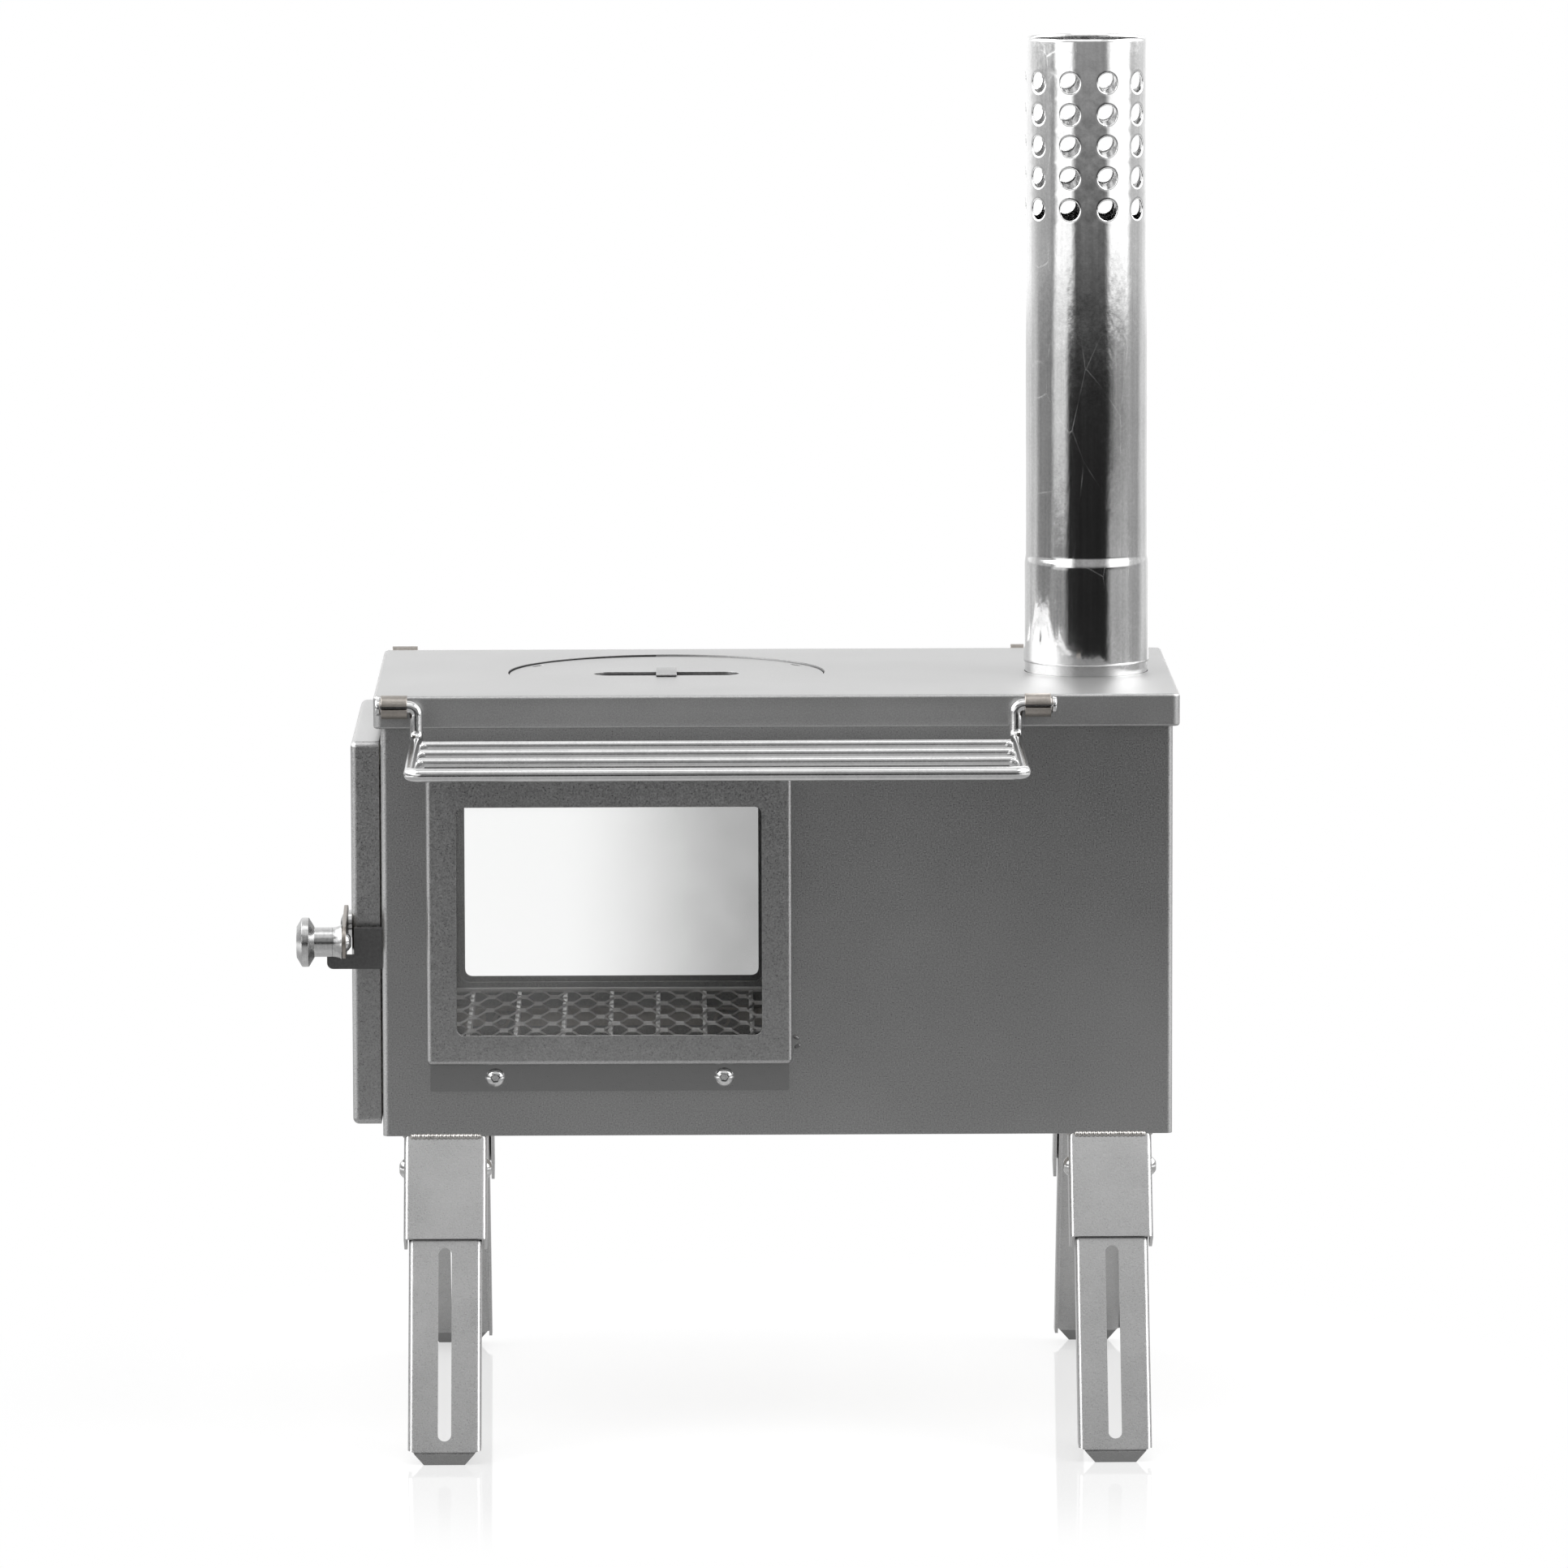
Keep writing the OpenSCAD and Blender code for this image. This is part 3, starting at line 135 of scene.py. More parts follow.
# %% Camera
HEADING, TILT, ROLL = (math.radians(angle) for angle in (-0.587, 83.0526, -0.15))
camera = bpy.data.objects.new("camera", bpy.data.cameras.new("camera"))
bpy.context.scene.collection.objects.link(camera)
camera.data.sensor_fit, camera.data.sensor_width = "HORIZONTAL", 36
camera.data.lens, camera.data.clip_end = 244.51, 60
look = (Matrix.Rotation(HEADING, 4, "Z") @ Matrix.Rotation(TILT, 4, "X")
        @ Matrix.Rotation(ROLL, 4, "Z"))
camera.matrix_world = shift(-0.03, -5.183, 0.938) @ look
bpy.context.scene.camera = camera
bpy.context.scene.view_settings.view_transform = "Standard"
print("camera", [round(c, 3) for c in camera.location], "lens", camera.data.lens)

# %% [markdown]
# ## Shader values
# A finish is worked out like a sum: grain plus a little cloud, times a depth.
# One small class wraps a socket and gives it the ordinary operators, so an
# expression in Python adds its Math nodes. A second class holds a material, or
# the world, and has the one method that every other node comes from.

# %% Values and finishes
def operator(kind, swapped=False):
    """An arithmetic operator that adds its Math node."""
    def apply(value, other):
        first, second = (other, value) if swapped else (value, other)
        return value.finish.node("ShaderNodeMath", {"operation": kind}, {0: first, 1: second})
    return apply


class Value:
    """A number in a shader that takes part in ordinary arithmetic."""
    __add__, __radd__ = operator("ADD"), operator("ADD", swapped=True)
    __sub__, __rsub__ = operator("SUBTRACT"), operator("SUBTRACT", swapped=True)
    __mul__, __rmul__ = operator("MULTIPLY"), operator("MULTIPLY", swapped=True)

    def __init__(self, finish, socket):
        self.finish, self.socket = finish, socket


class Finish:
    """The nodes of a material or of the world, and the method that adds them."""

    def __init__(self, owner):
        owner.use_nodes = True
        self.owner, self.tree = owner, owner.node_tree
        self.tree.nodes.clear()

    def node(self, kind, settings=None, sockets=None, out=0):
        """Adds a node: its settings first, then the values or links of its sockets."""
        made = self.tree.nodes.new(kind)
        for key, value in (settings or {}).items():
            if key == "stops":
                for stop, (spot, shade) in zip(made.color_ramp.elements, value):
                    stop.position, stop.color = spot, rgb(shade)
            else:
                setattr(made, key, value)
        for key, value in (sockets or {}).items():
            if isinstance(value, Value):
                self.tree.links.new(value.socket, made.inputs[key])
            else:
                made.inputs[key].default_value = value
        return Value(self, made.outputs[out]) if made.outputs else None

    def where(self, scale=(1, 1, 1), turn=(0, 0, 0)):
        """Object coordinates in metres, stretched by scale."""
        spot = self.node("ShaderNodeTexCoord", out="Object")
        return self.node("ShaderNodeMapping", {}, {
            "Vector": spot, "Scale": scale, "Rotation": turn})

    def along(self, axis):
        """One of the object coordinates."""
        return self.node("ShaderNodeSeparateXYZ", {}, {"Vector": self.where()}, out=axis)

    def noise(self, scale, stretch=(1, 1, 1), detail=3.0, rough=0.55):
        return self.node("ShaderNodeTexNoise", {}, {
            "Vector": self.where(stretch), "Scale": scale, "Detail": detail, "Roughness": rough})

    def ramp(self, value, *stops):
        return self.node("ShaderNodeValToRGB", {"stops": stops}, {"Fac": value})

    def fade(self, value, start, stop, first=0.0, last=1.0, curve="SMOOTHSTEP"):
        """Goes from first to last while the value goes from start to stop."""
        return self.node("ShaderNodeMapRange", {"interpolation_type": curve}, {
            "Value": value, "From Min": start, "From Max": stop, "To Min": first, "To Max": last})

    def blend(self, factor, first, second):
        return self.node("ShaderNodeMix", {"data_type": "RGBA"}, {
            0: factor, 6: first, 7: second}, out=2)

    def mix(self, factor, first, second):
        """Mixes two shaders."""
        return self.node("ShaderNodeMixShader", {}, {0: factor, 1: first, 2: second})

    def ray(self, kind):
        """One for rays of this kind, zero for the others."""
        return self.node("ShaderNodeLightPath", out=f"Is {kind} Ray")

    def seen(self):
        """One where the eye looks straight, by a mirror or through glass."""
        return self.ray("Camera") + self.ray("Glossy") + self.ray("Transmission")

    def surface(self, shader, kind="ShaderNodeOutputMaterial"):
        self.node(kind, {}, {"Surface": shader})
        return self.owner

def new_finish(name):
    return Finish(bpy.data.materials.new(name))

def rgb(red, green=None, blue=None):
    """A colour from one grey level or three."""
    return (red, red if green is None else green, red if blue is None else blue, 1)

# %% [markdown]
# ## Stainless sheet and rod
# All the metal is stainless steel in different states: rolled sheet with a dull
# satin skin, polished pipe and rod, and parts that welding or heat has browned.
# What differs is how rough the skin is, how it is streaked, and how cloudy its
# colour is. One recipe makes them all. Fine grain drives the bump and a little
# of the roughness, long streaks follow the rolling direction, and broad clouds
# keep a large sheet from looking printed.

# %% Metal recipe
def steel(name, shade, rough, tint=(1.0, 1.0, 1.0), cloud=0.12, cloud_size=14, grain=0.25,
          grain_size=700, streak=0.0, streak_way=(1, 1, 1), depth=0.1, scratch=0.0, wave=0.0,
          darker_below=None, darker_grey=0.004, reach=0.0, metal=1.0):
    """A steel. Below a given height its colour turns to a given dark grey, only near the disc if
    reach is given; at the plate's disc hole, in the disc's pocket and at the legs' feet this is
    painted shade.
    """
    f = new_finish(name)
    clouds = f.noise(cloud_size, detail=4.0)
    specks = f.noise(grain_size, detail=2.0, rough=0.7)
    streaks = f.noise(1.0, stretch=streak_way, detail=3.0, rough=0.6)
    level = cloud * 2 * (clouds - 0.5) + grain * (specks - 0.5) + streak * (streaks - 0.5)
    dark = rgb(*(shade * 0.6 * t for t in tint))
    light = rgb(*(min(1.0, shade * 1.4 * t) for t in tint))
    colour = f.blend(0.5 + 1.25 * level, dark, light)
    # Below the given height the colour is mixed towards the dark grey: painted shade in the disc's
    # hole and pocket and at the feet.
    if darker_below:
        darkening = f.fade(f.along("Z"), darker_below, darker_below - 0.0004, 0.0, 0.95, "LINEAR")
        if reach:
            away = f.node("ShaderNodeVectorMath", {"operation": "DISTANCE"}, {
                0: f.where((1, 1, 0)), 1: (DISC_X / 1000, 0, 0)}, out="Value")
            darkening = darkening * f.node("ShaderNodeMath", {"operation": "LESS_THAN"}, {0: away, 1: reach})
        colour = f.blend(darkening, colour, rgb(darker_grey))
    roughness = rough * (1.0 + 0.8 * grain * (specks - 0.5) + 0.7 * cloud * (clouds - 0.5)
                         + streak * 1.5 * (streaks - 0.5))
    if scratch:
        cells = f.node("ShaderNodeTexVoronoi", {"feature": "DISTANCE_TO_EDGE"}, {
            "Vector": f.where((1, 1, 0.35), (0.3, 0.9, 0.4)), "Scale": 55.0, "Randomness": 1.0})
        lines = f.ramp(cells, (0.0, 1.0), (0.012, 0.0)) * f.ramp(clouds, (0.45, 0.0), (0.6, 1.0))
        roughness = roughness + scratch * lines
    height = specks + streak * 4 * streaks
    bump = f.node("ShaderNodeBump", {}, {"Strength": depth, "Distance": 0.0002, "Height": height})
    if wave:
        dents = f.noise(26, stretch=(1, 1, 0.4), detail=5.0, rough=0.6)
        bump = f.node("ShaderNodeBump", {}, {"Strength": wave, "Distance": 0.002,
                                             "Height": dents, "Normal": bump})
    return f.surface(f.node("ShaderNodeBsdfPrincipled", {}, {
        "Base Color": colour, "Roughness": roughness, "Metallic": metal, "Normal": bump}))

rolled = {"cloud": 0.1, "grain": 0.8, "grain_size": 1500, "streak": 0.12,
          "streak_way": (12, 420, 12), "depth": 0.12}
sheet_steel = steel("satin sheet steel", 0.38, 0.34, cloud=0.16, cloud_size=9, grain=1.3,
                    grain_size=1500, depth=0.16)
# Below the pan's lower edge the frame steel turns darker, so the screw strip is darker than the
# pan.
frame_steel = steel("satin frame steel", 0.38, 0.34, cloud=0.12, cloud_size=20, grain=1.2,
                    grain_size=1500, depth=0.16, darker_below=(BODY_Z + 34.9) / 1000, darker_grey=0.28)
# Near the disc and below the plate's top, the plate is painted dark: painted shade in the gap round
# the disc and on the hole's wall.
plate_steel = steel("satin plate steel", 0.37, 0.42, **rolled, darker_below=(PLATE_TOP - 0.15) / 1000,
                    reach=0.0785)
# Below 2 mm under the plate's top the disc is painted dark: painted shade inside the drawn pocket.
disc_steel = steel("satin disc steel", 0.37, 0.42, **rolled, darker_below=(PLATE_TOP - 2.0) / 1000)
collar_steel = steel("bright collar steel", 0.6, 0.16, cloud=0.06, grain=0.3, depth=0.08)
dark_steel = steel("darkened steel", 0.16, 0.38, cloud=0.1, grain=0.5, depth=0.2)
# Below 5.2 mm, on the foot tab at the floor, the leg is painted darker: painted shade where the
# foot stands.
leg_steel = steel("leg steel", 0.46, 0.29, cloud=0.16, cloud_size=30, grain=0.55,
                  grain_size=1500, depth=0.14, darker_below=0.0052, darker_grey=0.3)
polished_steel = steel("polished steel", 0.72, 0.09, cloud=0.16, cloud_size=40, grain=0.3,
                       streak=0.35, streak_way=(420, 420, 9), depth=0.03, scratch=0.15, wave=0.16)
turned_steel = steel("turned steel", 0.48, 0.24, cloud=0.1, cloud_size=60, grain=0.4, streak=0.3,
                     streak_way=(900, 6, 6), depth=0.06)
rod_steel = steel("polished rod", 0.55, 0.16, cloud=0.15, cloud_size=80, grain=0.3, depth=0.08)
browned_steel = steel("heat-browned steel", 0.26, 0.34, tint=(1.08, 1.0, 0.92), cloud=0.25,
                      cloud_size=120, grain=0.5, depth=0.3)
weld_steel = steel("weld metal", 0.4, 0.3, tint=(1.03, 1.0, 0.96), cloud=0.3, cloud_size=200,
                   grain=0.4, depth=0.2)
# The grate steel is coloured nearly white and is mostly not metal, so that grate and bars look lit
# inside the dim firebox: painted light.
brightened_grate_steel = steel("grate steel painted bright", 0.95, 0.5, tint=(1.03, 1.0, 0.96), cloud=0.15, grain=0.4,
                   depth=0.2, metal=0.25)
dull_steel = steel("dull inner steel", 0.5, 0.4, tint=(1.06, 1.0, 0.93), cloud=0.2, cloud_size=25,
                   grain=0.5, depth=0.3, metal=0.6)
print("fourteen steels mixed")

# %% [markdown]
# ## Glass and rope
# The window glass is clear ceramic glass, so it is mostly a transparent shader
# with a mirror that Fresnel strengthens at low angles. A thin film lies on it,
# thicker towards the flue end and mostly on the rear pane. Towards the flue end
# it is dark grey, the haze that smoke leaves; away from it the film is light
# grey, a painted reflection. Rope and gasket are white woven fibre, with a twill
# drawn by two crossed waves.

# %% Glass and fibre
def window_glass(name, first_haze, last_haze):
    f = new_finish(name)
    haze = 0.8 + 0.4 * f.noise(30)
    # The film's colour: light grey away from the flue end, a painted reflection, and dark towards
    # it, the smoke haze.
    sheen_to_soot = f.fade(f.along("X"), -0.13, 0.02, 1.0, 0.1)
    thick = f.fade(f.along("X"), -0.09, 0.02, first_haze, last_haze)
    clear = f.node("ShaderNodeBsdfTransparent", {}, {"Color": rgb(0.998, 0.999, 0.998)})
    film = f.node("ShaderNodeBsdfPrincipled", {}, {
        "Base Color": f.blend(sheen_to_soot * haze, rgb(0.03), rgb(0.92)), "Roughness": 0.6})
    shine = f.node("ShaderNodeBsdfGlossy", {}, {"Color": rgb(1.0), "Roughness": 0.02})
    edge = f.node("ShaderNodeFresnel", {}, {"IOR": 1.2})
    return f.surface(f.mix(edge, f.mix(thick * haze, clear, film), shine))

def fibre(name, scale):
    f = new_finish(name)
    one, two = (f.node("ShaderNodeTexWave", {"bands_direction": "DIAGONAL"}, {
        "Vector": f.where((1, way, 1)), "Scale": scale, "Distortion": 1.5, "Detail": 2.0},
        out="Fac") for way in (1, -1))
    weave = one * 0.5 + two * 0.5
    soot = f.noise(40, detail=4.0)
    colour = f.blend(weave * 0.6 + soot * 0.4, rgb(0.42, 0.4, 0.36), rgb(0.82, 0.8, 0.75))
    bump = f.node("ShaderNodeBump", {}, {"Strength": 0.7, "Distance": 0.0006, "Height": weave})
    return f.surface(f.node("ShaderNodeBsdfPrincipled", {}, {
        "Base Color": colour, "Roughness": 0.9, "Normal": bump}))

clear_glass = window_glass("clear fire glass", 0.05, 0.04)
hazy_glass = window_glass("smoke-hazed fire glass", 0.0, 0.34)
rope_fibre = fibre("woven glass fibre", 160)
print("glass and fibre mixed")

# %% [markdown]
# ## Finishes on the solids that stay
# The hidden pieces, such as the ledges, nuts and studs, look right as solids.
# They keep their meshes and take a finish in their material slots. Every node
# gets one here first, and a piece made below replaces its node later.

# %% Finishes on the nodes
FINISHES = (
    (clear_glass, "window_glass_front"), (hazy_glass, "window_glass_rear"),
    (rope_fibre, "window_gasket_ door_rope_seal"), (polished_steel, "flue_pipe"),
    (rod_steel, "window_screws_ leg_pins door_hinge_pins latch_pivot latch_knob knob_screw "
                "damper_grip disc_bridge rack_frame_ rack_rods_"),
    (browned_steel, "rack_barrels_ door_hinge_"), (leg_steel, "leg_ latch_lever"),
    (plate_steel, "top_plate cook_disc disc_tabs flue_collar"),
    (sheet_steel, "front_wall rear_wall door_end_wall flue_end_wall window_frame_ door_pan "
                  "door_catch"),
)
for name, node in nodes.items():
    finish = next((finish for finish, starts in FINISHES
                   if name.startswith(tuple(starts.split()))), dull_steel)
    for slot in node.material_slots:
        slot.material = finish
print(len(nodes), "nodes dressed")

# %% [markdown]
# ## Cutting, folding and pressing sheet
# A folded part starts as a flat blank: an outline and its holes, filled in one
# go. The blank is sliced across each bend zone, and every vertex past the bend
# line is carried round it, as in a folding machine. A pressed pan is made the
# other way round: its section is drawn along the straight sides and spun round
# the corners, and the flat top is filled in with its holes. Both stay a single
# skin, and a Solidify modifier gives them the sheet's thickness.

# %% Outlines
def arc(cx, cy, r, start, stop, steps=6):
    """Points of an arc, its angles in degrees."""
    turns = [math.radians(start + (stop - start) * i / steps) for i in range(steps + 1)]
    return [(cx + r * math.cos(a), cy + r * math.sin(a)) for a in turns]

def rounded(half_l, half_w, r, steps=5, at=(0, 0)):
    """Points of a rounded rectangle, counterclockwise."""
    points = []
    for k, (sx, sy) in enumerate(((1, 1), (-1, 1), (-1, -1), (1, -1))):
        points += arc(at[0] + sx * (half_l - r), at[1] + sy * (half_w - r), r,
                      90 * k, 90 * k + 90, steps)
    return points

def circle(r, at=(0, 0), steps=40):
    return [(at[0] + r * math.cos(math.tau * i / steps), at[1] + r * math.sin(math.tau * i / steps))
            for i in range(steps)]

def hole_pair(x, y=0.0, r=2.52, middle=0.0):
    """Two equal round holes, one on each side of the middle."""
    return [circle(r, (middle + s * x, y), 20) for s in (-1, 1)]

def loop(bm, points, height=0.0):
    """A closed loop of edges through flat points."""
    corners = [bm.verts.new((x, y, height)) for x, y in points]
    return [bm.edges.new((corners[i - 1], corners[i])) for i in range(len(corners))]

def open_line(bm, points):
    """A line of edges through points in space."""
    line = [bm.verts.new(p) for p in points]
    return [bm.edges.new(line[i:i + 2]) for i in range(len(line) - 1)]

def ends_of(edges):
    """The vertices of some edges, each one once."""
    return list(dict.fromkeys(v for e in edges for v in e.verts))

# %% Fill, fold, press
def face_out(bm):
    bmesh.ops.recalc_face_normals(bm, faces=bm.faces[:])

def face_up(bm):
    """Turns the skin's faces to its upper side."""
    face_out(bm)
    if sum(f.normal.z * f.calc_area() for f in bm.faces) < 0:
        bmesh.ops.reverse_faces(bm, faces=bm.faces[:])

def fill(bm, edges, holes=(), height=0.0):
    """Fills a flat outline in one go, round its holes."""
    for hole in holes:
        edges = edges + loop(bm, hole, height)
    bmesh.ops.triangle_fill(bm, use_beauty=True, edges=edges)
    face_up(bm)

def blank(outline, holes=()):
    """A flat sheet blank with its holes."""
    bm = bmesh.new()
    fill(bm, loop(bm, outline), holes)
    return bm

def fold(bm, heading, start, radius, degrees, steps=6):
    """Folds all that lies past a line away from the face."""
    heading, total = Vector(heading), math.radians(degrees)
    for i in range(steps + 1):
        bmesh.ops.bisect_plane(bm, geom=bm.verts[:] + bm.edges[:] + bm.faces[:], dist=1e-5,
                               plane_co=heading * (start + radius * total * i / steps),
                               plane_no=heading)
    for v in bm.verts:
        past = v.co.dot(heading) - start
        if past > 1e-5:
            turn, lift = min(past / radius, total), v.co.z
            rest = past - radius * turn
            flat = (radius + lift) * math.sin(turn) + rest * math.cos(turn)
            v.co += heading * (flat - past)
            v.co.z = -radius + (radius + lift) * math.cos(turn) - rest * math.sin(turn)

def fresh(made, kind):
    return [g for g in made if isinstance(g, kind)]

def draw(bm, edges, step):
    """Extrudes a line or ring of edges by a step and returns the new one."""
    made = bmesh.ops.extrude_edge_only(bm, edges=edges)["geom"]
    verts = fresh(made, bmesh.types.BMVert)
    bmesh.ops.translate(bm, vec=step, verts=verts)
    new = set(verts)
    return [e for e in fresh(made, bmesh.types.BMEdge) if new.issuperset(e.verts)]

def swing(bm, edges, centre, axis, degrees, steps):
    """Spins a line or ring of edges about a centre and returns the last one."""
    made = bmesh.ops.spin(bm, geom=ends_of(edges) + edges, cent=centre, axis=axis, dvec=(0, 0, 0),
                          angle=math.radians(degrees), steps=steps)["geom_last"]
    return fresh(made, bmesh.types.BMEdge)

def press(section, half_l, half_w, r, steps=6):
    """A pan's rim: its section, as (inset, height), goes once round."""
    bm = bmesh.new()
    edges = open_line(bm, [(half_l - inset, 0, height) for inset, height in section])
    x, y = half_l - r, half_w - r
    for run, centre in (((0, y, 0), (x, y, 0)), ((-2 * x, 0, 0), (-x, y, 0)),
                        ((0, -2 * y, 0), (-x, -y, 0)), ((2 * x, 0, 0), (x, -y, 0))):
        edges = draw(bm, edges, run)
        edges = swing(bm, edges, centre, (0, 0, 1), 90, steps)
    draw(bm, edges, (0, y, 0))
    bmesh.ops.remove_doubles(bm, verts=bm.verts[:], dist=1e-3)
    return bm

def close_top(bm, height, holes=()):
    """Fills the pan's top inside its rim, round its holes."""
    fill(bm, [e for e in bm.edges if e.is_boundary
              and all(abs(v.co.z - height) < 1e-3 for v in e.verts)], holes, height)

def add_to(bm, other, matrix=LEVEL):
    """Moves another mesh into this one."""
    bmesh.ops.transform(other, matrix=matrix, verts=other.verts[:])
    carrier = bpy.data.meshes.new("carrier")
    other.to_mesh(carrier)
    other.free()
    bm.from_mesh(carrier)
    bpy.data.meshes.remove(carrier)
    return bm

# %% [markdown]
# ## Bent rods and turned parts
# A rod is a circle that is pushed along each straight and spun about the centre
# of each bend, so its skin is as even as a real bent rod's. A turned part is a
# half section spun a full turn, with its doubles merged at the poles and its
# normals worked out again afterwards.

# %% Rods and turned parts
def cap(bm):
    """Closes the open ends and turns the skin outwards."""
    bmesh.ops.holes_fill(bm, edges=bm.edges[:], sides=0)
    face_out(bm)
    return bm

def rod(start, heading, steps, radius, sides=24):
    """A round rod: run (length), bend (radius, degrees, axis) or taper (length, radius)."""
    bm, at, heading = bmesh.new(), Vector(start), Vector(heading)
    square = Matrix.Translation(at) @ heading.to_track_quat("Z", "Y").to_matrix().to_4x4()
    bmesh.ops.create_circle(bm, segments=sides, radius=radius, matrix=square)
    ring = bm.edges[:]
    for step in steps:
        if step[0] == "bend":
            axis = Vector(step[3])
            centre = at + axis.cross(heading) * step[1]
            ring = swing(bm, ring, centre, axis, step[2], 8)
            turn = Matrix.Rotation(math.radians(step[2]), 3, axis)
            at, heading = centre + turn @ (at - centre), turn @ heading
            continue
        ring = draw(bm, ring, heading * step[1])
        at = at + heading * step[1]
        if step[0] == "taper":
            for v in ends_of(ring):
                v.co = at + (v.co - at) * (step[2] / radius)
            radius = step[2]
    return cap(bm)

def turned(section, steps=40):
    """A lathe part from (radius, height) points, spun about its own axis."""
    bm = bmesh.new()
    open_line(bm, [(r, 0, z) for r, z in section])
    bmesh.ops.spin(bm, geom=bm.verts[:] + bm.edges[:], cent=(0, 0, 0), axis=(0, 0, 1),
                   dvec=(0, 0, 0), angle=math.tau, steps=steps, use_merge=True)
    bmesh.ops.remove_doubles(bm, verts=bm.verts[:], dist=1e-4)
    face_out(bm)
    return bm

HEAD_R, HEAD_H, SOCKET = 4.75, 2.75, 1.75

def button_head(shank):
    """A domed screw along -Z with a hexagon socket; its seat is at height 0."""
    ball = (HEAD_R * HEAD_R + HEAD_H * HEAD_H) / (2 * HEAD_H)
    rows = []
    for i in range(9):
        radius = HEAD_R - (HEAD_R - 2.1) * i / 8
        rows.append((radius, HEAD_H - ball + math.sqrt(ball * ball - radius * radius)))
    bm = turned([(0, -shank), (2.3, -shank), (2.48, -shank + 0.4), (2.48, 0), (HEAD_R - 0.15, 0)]
                + rows, 36)
    rim = [e for e in bm.edges if e.is_boundary]
    for depth in (0.0, 2.2):
        rim = draw(bm, rim, (0, 0, -depth))
        for v in ends_of(rim):
            angle = math.atan2(v.co.y, v.co.x)
            reach = SOCKET / math.cos((angle + math.pi / 6) % (math.pi / 3) - math.pi / 6)
            v.co.x, v.co.y = reach * math.cos(angle), reach * math.sin(angle)
    return cap(bm)

# %% [markdown]
# ## Firebox walls
# Each long wall is one sheet with the window's opening and two screw holes. Its
# two ends fold back round the firebox's ends in a soft bend. That bend is what
# catches the light along the upright edges, so it has several slices.

# %% Long walls
WIN_MID = 49.4 + 110.8 / 2
SCREW_X, SCREW_Y = 55.2, 28.4

def long_wall():
    bend, flat = 3.0, HALF_L - 3.0
    reach = flat + bend * math.pi / 2 + 9.0
    outline = [(-reach, 0), (reach, 0), (reach, WALL_H), (-reach, WALL_H)]
    bm = blank(outline, [rounded(76, 57.9, 5, at=(WIN_X, WIN_MID))]
               + hole_pair(SCREW_X, SCREW_Y, middle=WIN_X))
    for side in (-1, 1):
        fold(bm, (side, 0, 0), flat, bend, 90)
    return bm

for end, mirror in ENDS:
    piece(end + "_wall_folded", long_wall(), sheet_steel, "firebox",
          mirror @ ON_WALL, sheet=1.2, round_off=0.15)

# %% [markdown]
# ## Top plate
# The plate is a shallow lid. Its skirt turns down in a round bend, its corners
# are pressed round, and the skirt's lower edge is hemmed: folded in and up, so
# no raw edge is left. The section therefore starts inside, at the hem's edge.
# Two round holes are left in the top, for the disc and for the flue collar.

# %% Top plate
OVERHANG, DISC_HOLE = 3.3, 77.5
hem = [(2.35, -9.8), (2.35, -14.6)] + arc(1.2, -14.65, 1.15, -30, -180, 5)
shoulder = arc(1.6, -1.6, 1.6, 180, 90)
lid = press(hem + shoulder, HALF_L + OVERHANG, HALF_W + OVERHANG, 4.0)
close_top(lid, 0.0, [circle(DISC_HOLE, (DISC_X, 0), 96), circle(PIPE_R + 0.25, (FLUE_X, 0), 64)])
piece("top_plate_pressed", lid, plate_steel, "firebox",
      shift(0, 0, PLATE_TOP), sheet=1.15, round_off=0.2)

# %% [markdown]
# ## Cooking disc
# The disc is cut from the same plate and lies a little below its surface. It has
# three short slits near its edge and a long pocket with round ends in the middle,
# drawn down from the sheet, under a small riveted bridge that a hook can lift.

# %% Disc with its pocket, and the bridge
DISC_SINK = 0.9
ON_DISC = shift(DISC_X, 0, PLATE_TOP - DISC_SINK)

def slit(angle, r=73.4, half_w=1.1, half_l=4.5):
    """A short slit across the disc's radius."""
    low, high = r - half_w, r + half_w
    spots = [(low, -half_l), (high, -half_l), (high, half_l), (low, half_l)]
    c, s = math.cos(math.radians(angle)), math.sin(math.radians(angle))
    return [(x * c - y * s, x * s + y * c) for x, y in spots]

disc = blank(circle(76.8, steps=96),
             [rounded(35.5, 7.6, 7.5, 8)] + [slit(angle) for angle in (30, 150, 270)])
rim = [e for e in disc.edges if e.is_boundary and all(v.co.xy.length < 36 for v in e.verts)]
fill(disc, draw(disc, rim, (0, 0, -8)))
piece("cook_disc_drawn", disc, disc_steel, "disc", ON_DISC,
      sheet=1.2, round_off=0.2)

strap = bmesh.new()
bow = [(y, 3.4 - 2.1 * (y / 12.6) ** 2) for y in (-12, -10, -7.5, -5, -2.5, 0, 2.5, 5, 7.5, 10, 12)]
bow = [(-14.45, 1.15), (-13.4, 1.25)] + bow + [(13.4, 1.25), (14.45, 1.15)]
draw(strap, open_line(strap, [(-5, y, z) for y, z in bow]), (10, 0, 0))
face_up(strap)
piece("disc_bridge_bowed", strap, plate_steel, "disc", ON_DISC,
      sheet=1.1, round_off=0.3, smooth=50)

# %% [markdown]
# ## Flue section
# The pipe is rolled from thin polished sheet. Before it is rolled, the five rows
# of spark holes are punched, and each punch drags the metal in a little, which
# is the light ring round every hole. So one cell with its hole is made, copied
# ten by five times, drawn out to the full length with the socket's shoulder in
# it, and then rolled.

